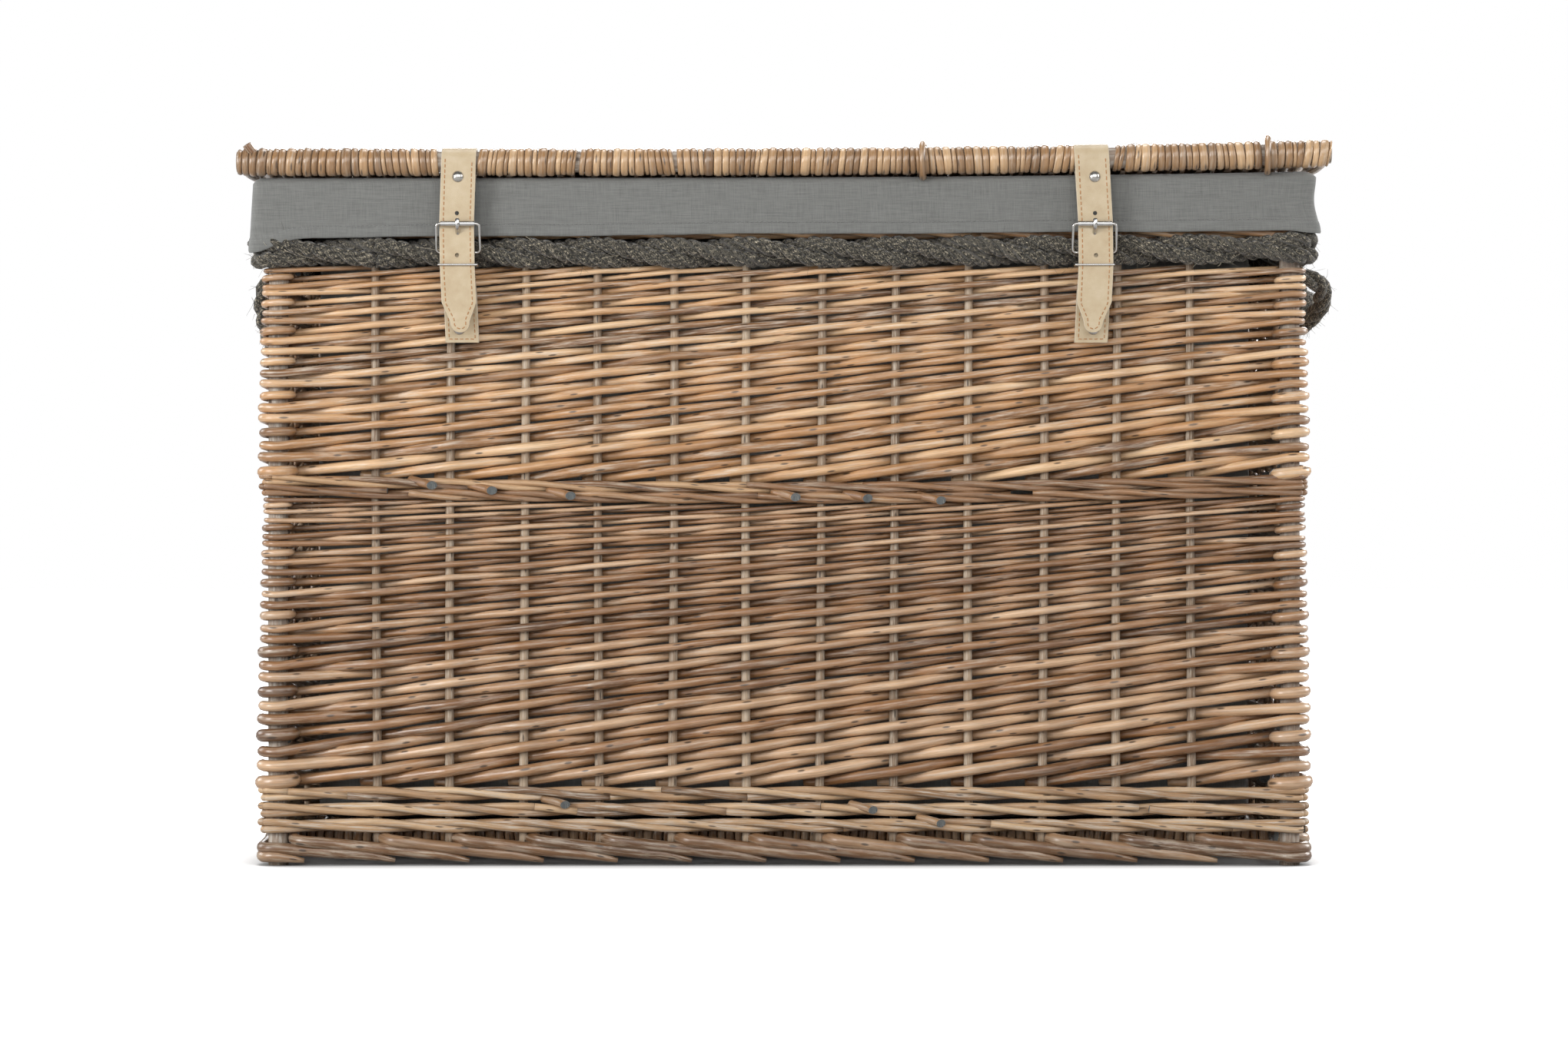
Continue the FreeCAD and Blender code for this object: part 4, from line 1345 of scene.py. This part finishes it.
def wall_strap(kind, name, x, side, bar, mid_r, t, half, front, bottom, seam_top):
    """Strap folded round a bar (y, z), laid down on the wall and sewn; side is -1 in front, 1 behind."""
    bar_y, bar_z = bar
    out_y = front - t / 2
    under_y = STRAP_WALL + t / 2 + t
    bend = [(out_y, 449.0), (out_y - 0.4, 443.5), (under_y + 0.6, 431.0), (under_y + 0.05, 425.0)]
    run_out = [(out_y, z) for z in np.linspace(bar_z, 451, max(2, int((bar_z - 451) / 4) + 2))][1:]
    outer = smooth_line(run_out + bend + [(under_y + 0.05, z) for z in (418.0, 410.0, 402.0, bottom)])
    inner = [(y - t - 0.05, z) for y, z in outer if z < bar_z - mid_r - t * 1.2]
    loop = [(2 * bar_y - y, z) for y, z in circle(np.linspace(-100, 178, 30), mid_r, bar_y, bar_z)]
    line = [(side * y, z) for y, z in outer[::-1] + loop[::-1] + inner][::side]
    warp = leaning(name) if side < 0 else None
    strip = ribbon(line, [half] * len(line), t)
    piece = leather_mesh(kind + "_leather_" + name, *strip, x, "basket", warp)
    ys, zs = np.array(sorted(outer, key=lambda p: p[1])).T
    rods = Rods()
    inset, low = half - 2.8, bottom + 2.6
    sew(rods, [(-inset, seam_top), (-inset, low), (inset, low), (inset, seam_top)], x,
        lambda z: side * (np.interp(z, zs, ys) + t / 2))
    rods.build(kind + "_thread_" + name, MAT["thread"], slot="strap_leather", warp=warp)
    return piece


def lower_straps():
    low, high = box_mm("lower_strap_left")
    half, front, bar = (high[0] - low[0]) / 2, -low[1], (-low[1] - 3.1, high[2] - 3.1)
    for name, x in zip(SIDES, STRAP_XS):
        piece = wall_strap("lower_strap", name, x, -1, bar, 2.1, LOWER_LEATHER, half, front, low[2], 448)
        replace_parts(piece, "lower_strap_" + name)
        punch(piece, [(x, -bar[0], bar[1] + 0.4, 2.0, 7.2)])


def hinge_straps():
    mid_r = hinge_high[2] - LID_Z - LEATHER / 2
    front = LID_Y + mid_r + LEATHER / 2
    pieces = [wall_strap("hinge", name, x, 1, (LID_Y, LID_Z), mid_r, LEATHER, STRAP_HALF, front,
                         hinge_low[2], 522) for name, x in zip(SIDES, HINGE_XS)]
    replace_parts(pieces[0], "hinge_straps")


lid_straps()
lower_straps()
hinge_straps()


# ---- metal, kept from the frame
def dress(node, material):
    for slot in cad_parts[node].material_slots:
        slot.material = material


def prongs():
    """Flattened wire hook: from the heel bar, out through the strap's hole, over the roller."""
    for name, x in zip(SIDES, STRAP_XS):
        roller_low, roller_high = box_mm("buckle_roller_" + name)
        low, high = box_mm("buckle_prong_" + name)
        heel_y, heel_z = high[1] - 2.3, low[2] + 2.3
        _, roller_y, roller_z = (roller_low + roller_high) / 2
        r = 1.3
        over = roller_y - (roller_high[2] - roller_low[2]) / 2 - r * 0.62 - 0.1
        path = [(x, heel_y - 1.0, heel_z + 2.2), (x, heel_y - 1.6, heel_z + 9.5),
                (x, (heel_y + over) / 2, heel_z + 14.5), (x, over + 1.0, roller_z - 2.6),
                (x, over, roller_z), (x, over + 0.4, roller_z + 2.4), (x, over + 1.1, roller_z + 3.8)]
        path = smooth_through(path, 5)
        size = np.full(len(path), r)
        size[:8] = 1.0
        size[-3:] = (r * 0.95, r * 0.8, r * 0.45)
        rods = Rods()
        rods.add(path, size, 14, flat=1.35, flat_axis=(1, 0, 0))
        ring = [(x, heel_y + 1.6 * math.cos(a), heel_z + 1.6 * math.sin(a))
                for a in np.linspace(0.9, 6.6, 22)]
        rods.add(ring, 0.6, 10, flat=1.8, flat_axis=(1, 0, 0))
        piece = rods.build("prong_wire_" + name, MAT["chrome"], MAT["chrome"], body="prong_" + name,
                           slot="buckle_metal")
        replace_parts(piece, "buckle_prong_" + name)


prongs()
for side_name in SIDES:
    for node in ("buckle_frame_", "buckle_roller_", "keeper_"):
        dress(node + side_name, MAT["chrome"])
    for node in ("lid_strap_rivet_", "lower_strap_rivet_"):
        dress(node + side_name, MAT["rivet"])
dress("hinge_rivets", MAT["rivet"])


# ---- stage
AMBIENT = 0.19              # the white surroundings' share of the light
FLOOR_GLOW = 0.97           # keeps the floor as white as the background


# Each lamp: its place and what it is aimed at, its width and height, in metres; its watts.
LAMPS = {
    "key": ((-2.2, -1.9, 0.80), (0, -0.2, 0.34), (1.0, 1.2), 50),
    "front": ((0.1, -2.0, 1.05), (0, -0.25, 0.42), (2.4, 1.2), 25),
    "fill": ((2.5, -1.4, 1.3), (0, 0, 0.34), (1.0, 1.4), 18),
    "right": ((3.0, 0.8, 1.3), (0, 0, 0.28), (1.6, 1.2), 70),
    "left": ((-3.0, 0.9, 1.3), (0, 0, 0.28), (1.6, 1.2), 35),
    "back": ((0.3, 3.0, 1.6), (0, 0, 0.3), (2.4, 1.5), 95),
    "top": ((0.0, 0.5, 3.0), (0, 0.1, 0.5), (1.6, 1.2), 34),
}


def area_light(name, at, aim, size, power):
    data = bpy.data.lights.new(name, "AREA")
    data.shape = "RECTANGLE"
    data.size, data.size_y = size
    data.energy = power
    lamp = add_object(name, data)
    lamp.location = at
    lamp.visible_camera = False
    lamp.rotation_euler = (Vector(aim) - Vector(at)).to_track_quat("-Z", "Y").to_euler()


def white_floor():
    """Floor as white as the background to the camera, with a painted contact shadow: its glow fades close to
    what stands on it.
    """
    mesh = bpy.data.meshes.new("floor")
    half = 12.0
    mesh.from_pydata([(-half, -half, 0), (half, -half, 0), (half, half, 0), (-half, half, 0)], [],
                     [(0, 1, 2, 3)])
    floor = add_object("floor", mesh)
    n = Nodes("floor_look")
    look = n.finish((0.42, 0.42, 0.42), 0.9, Emission_Color=(1, 1, 1, 1))
    seen = n.node("ShaderNodeLightPath", "Is Camera Ray")
    # Painted contact shadow: ambient occlusion dims the floor's glow near the trunk.
    near = n.node("ShaderNodeAmbientOcclusion", "AO", Distance=0.07)
    painted_contact_shadow = n.ramp(near, [(0.0, 0.0), (0.42, 0.05), (0.9, 1.0)])
    n.put(n.shader.inputs["Emission Strength"], n.times(n.times(seen, FLOOR_GLOW), painted_contact_shadow))
    mesh.materials.append(look)


def white_world():
    """Full white to the camera; AMBIENT of it lights the trunk."""
    world = bpy.data.worlds.new("world")
    world.use_nodes = True
    nodes, links = world.node_tree.nodes, world.node_tree.links
    background = nodes["Background"]
    background.inputs[0].default_value = (1.0, 1.0, 1.0, 1.0)
    path = nodes.new("ShaderNodeLightPath")
    strength = nodes.new("ShaderNodeMath")
    strength.operation = "MULTIPLY_ADD"
    links.new(path.outputs["Is Camera Ray"], strength.inputs[0])
    strength.inputs[1].default_value = 1.0 - AMBIENT
    strength.inputs[2].default_value = AMBIENT
    links.new(strength.outputs[0], background.inputs[1])
    bpy.context.scene.world = world


white_floor()
white_world()
bpy.context.scene.view_settings.view_transform = "Standard"
for lamp_name, facts in LAMPS.items():
    area_light(lamp_name, *facts)
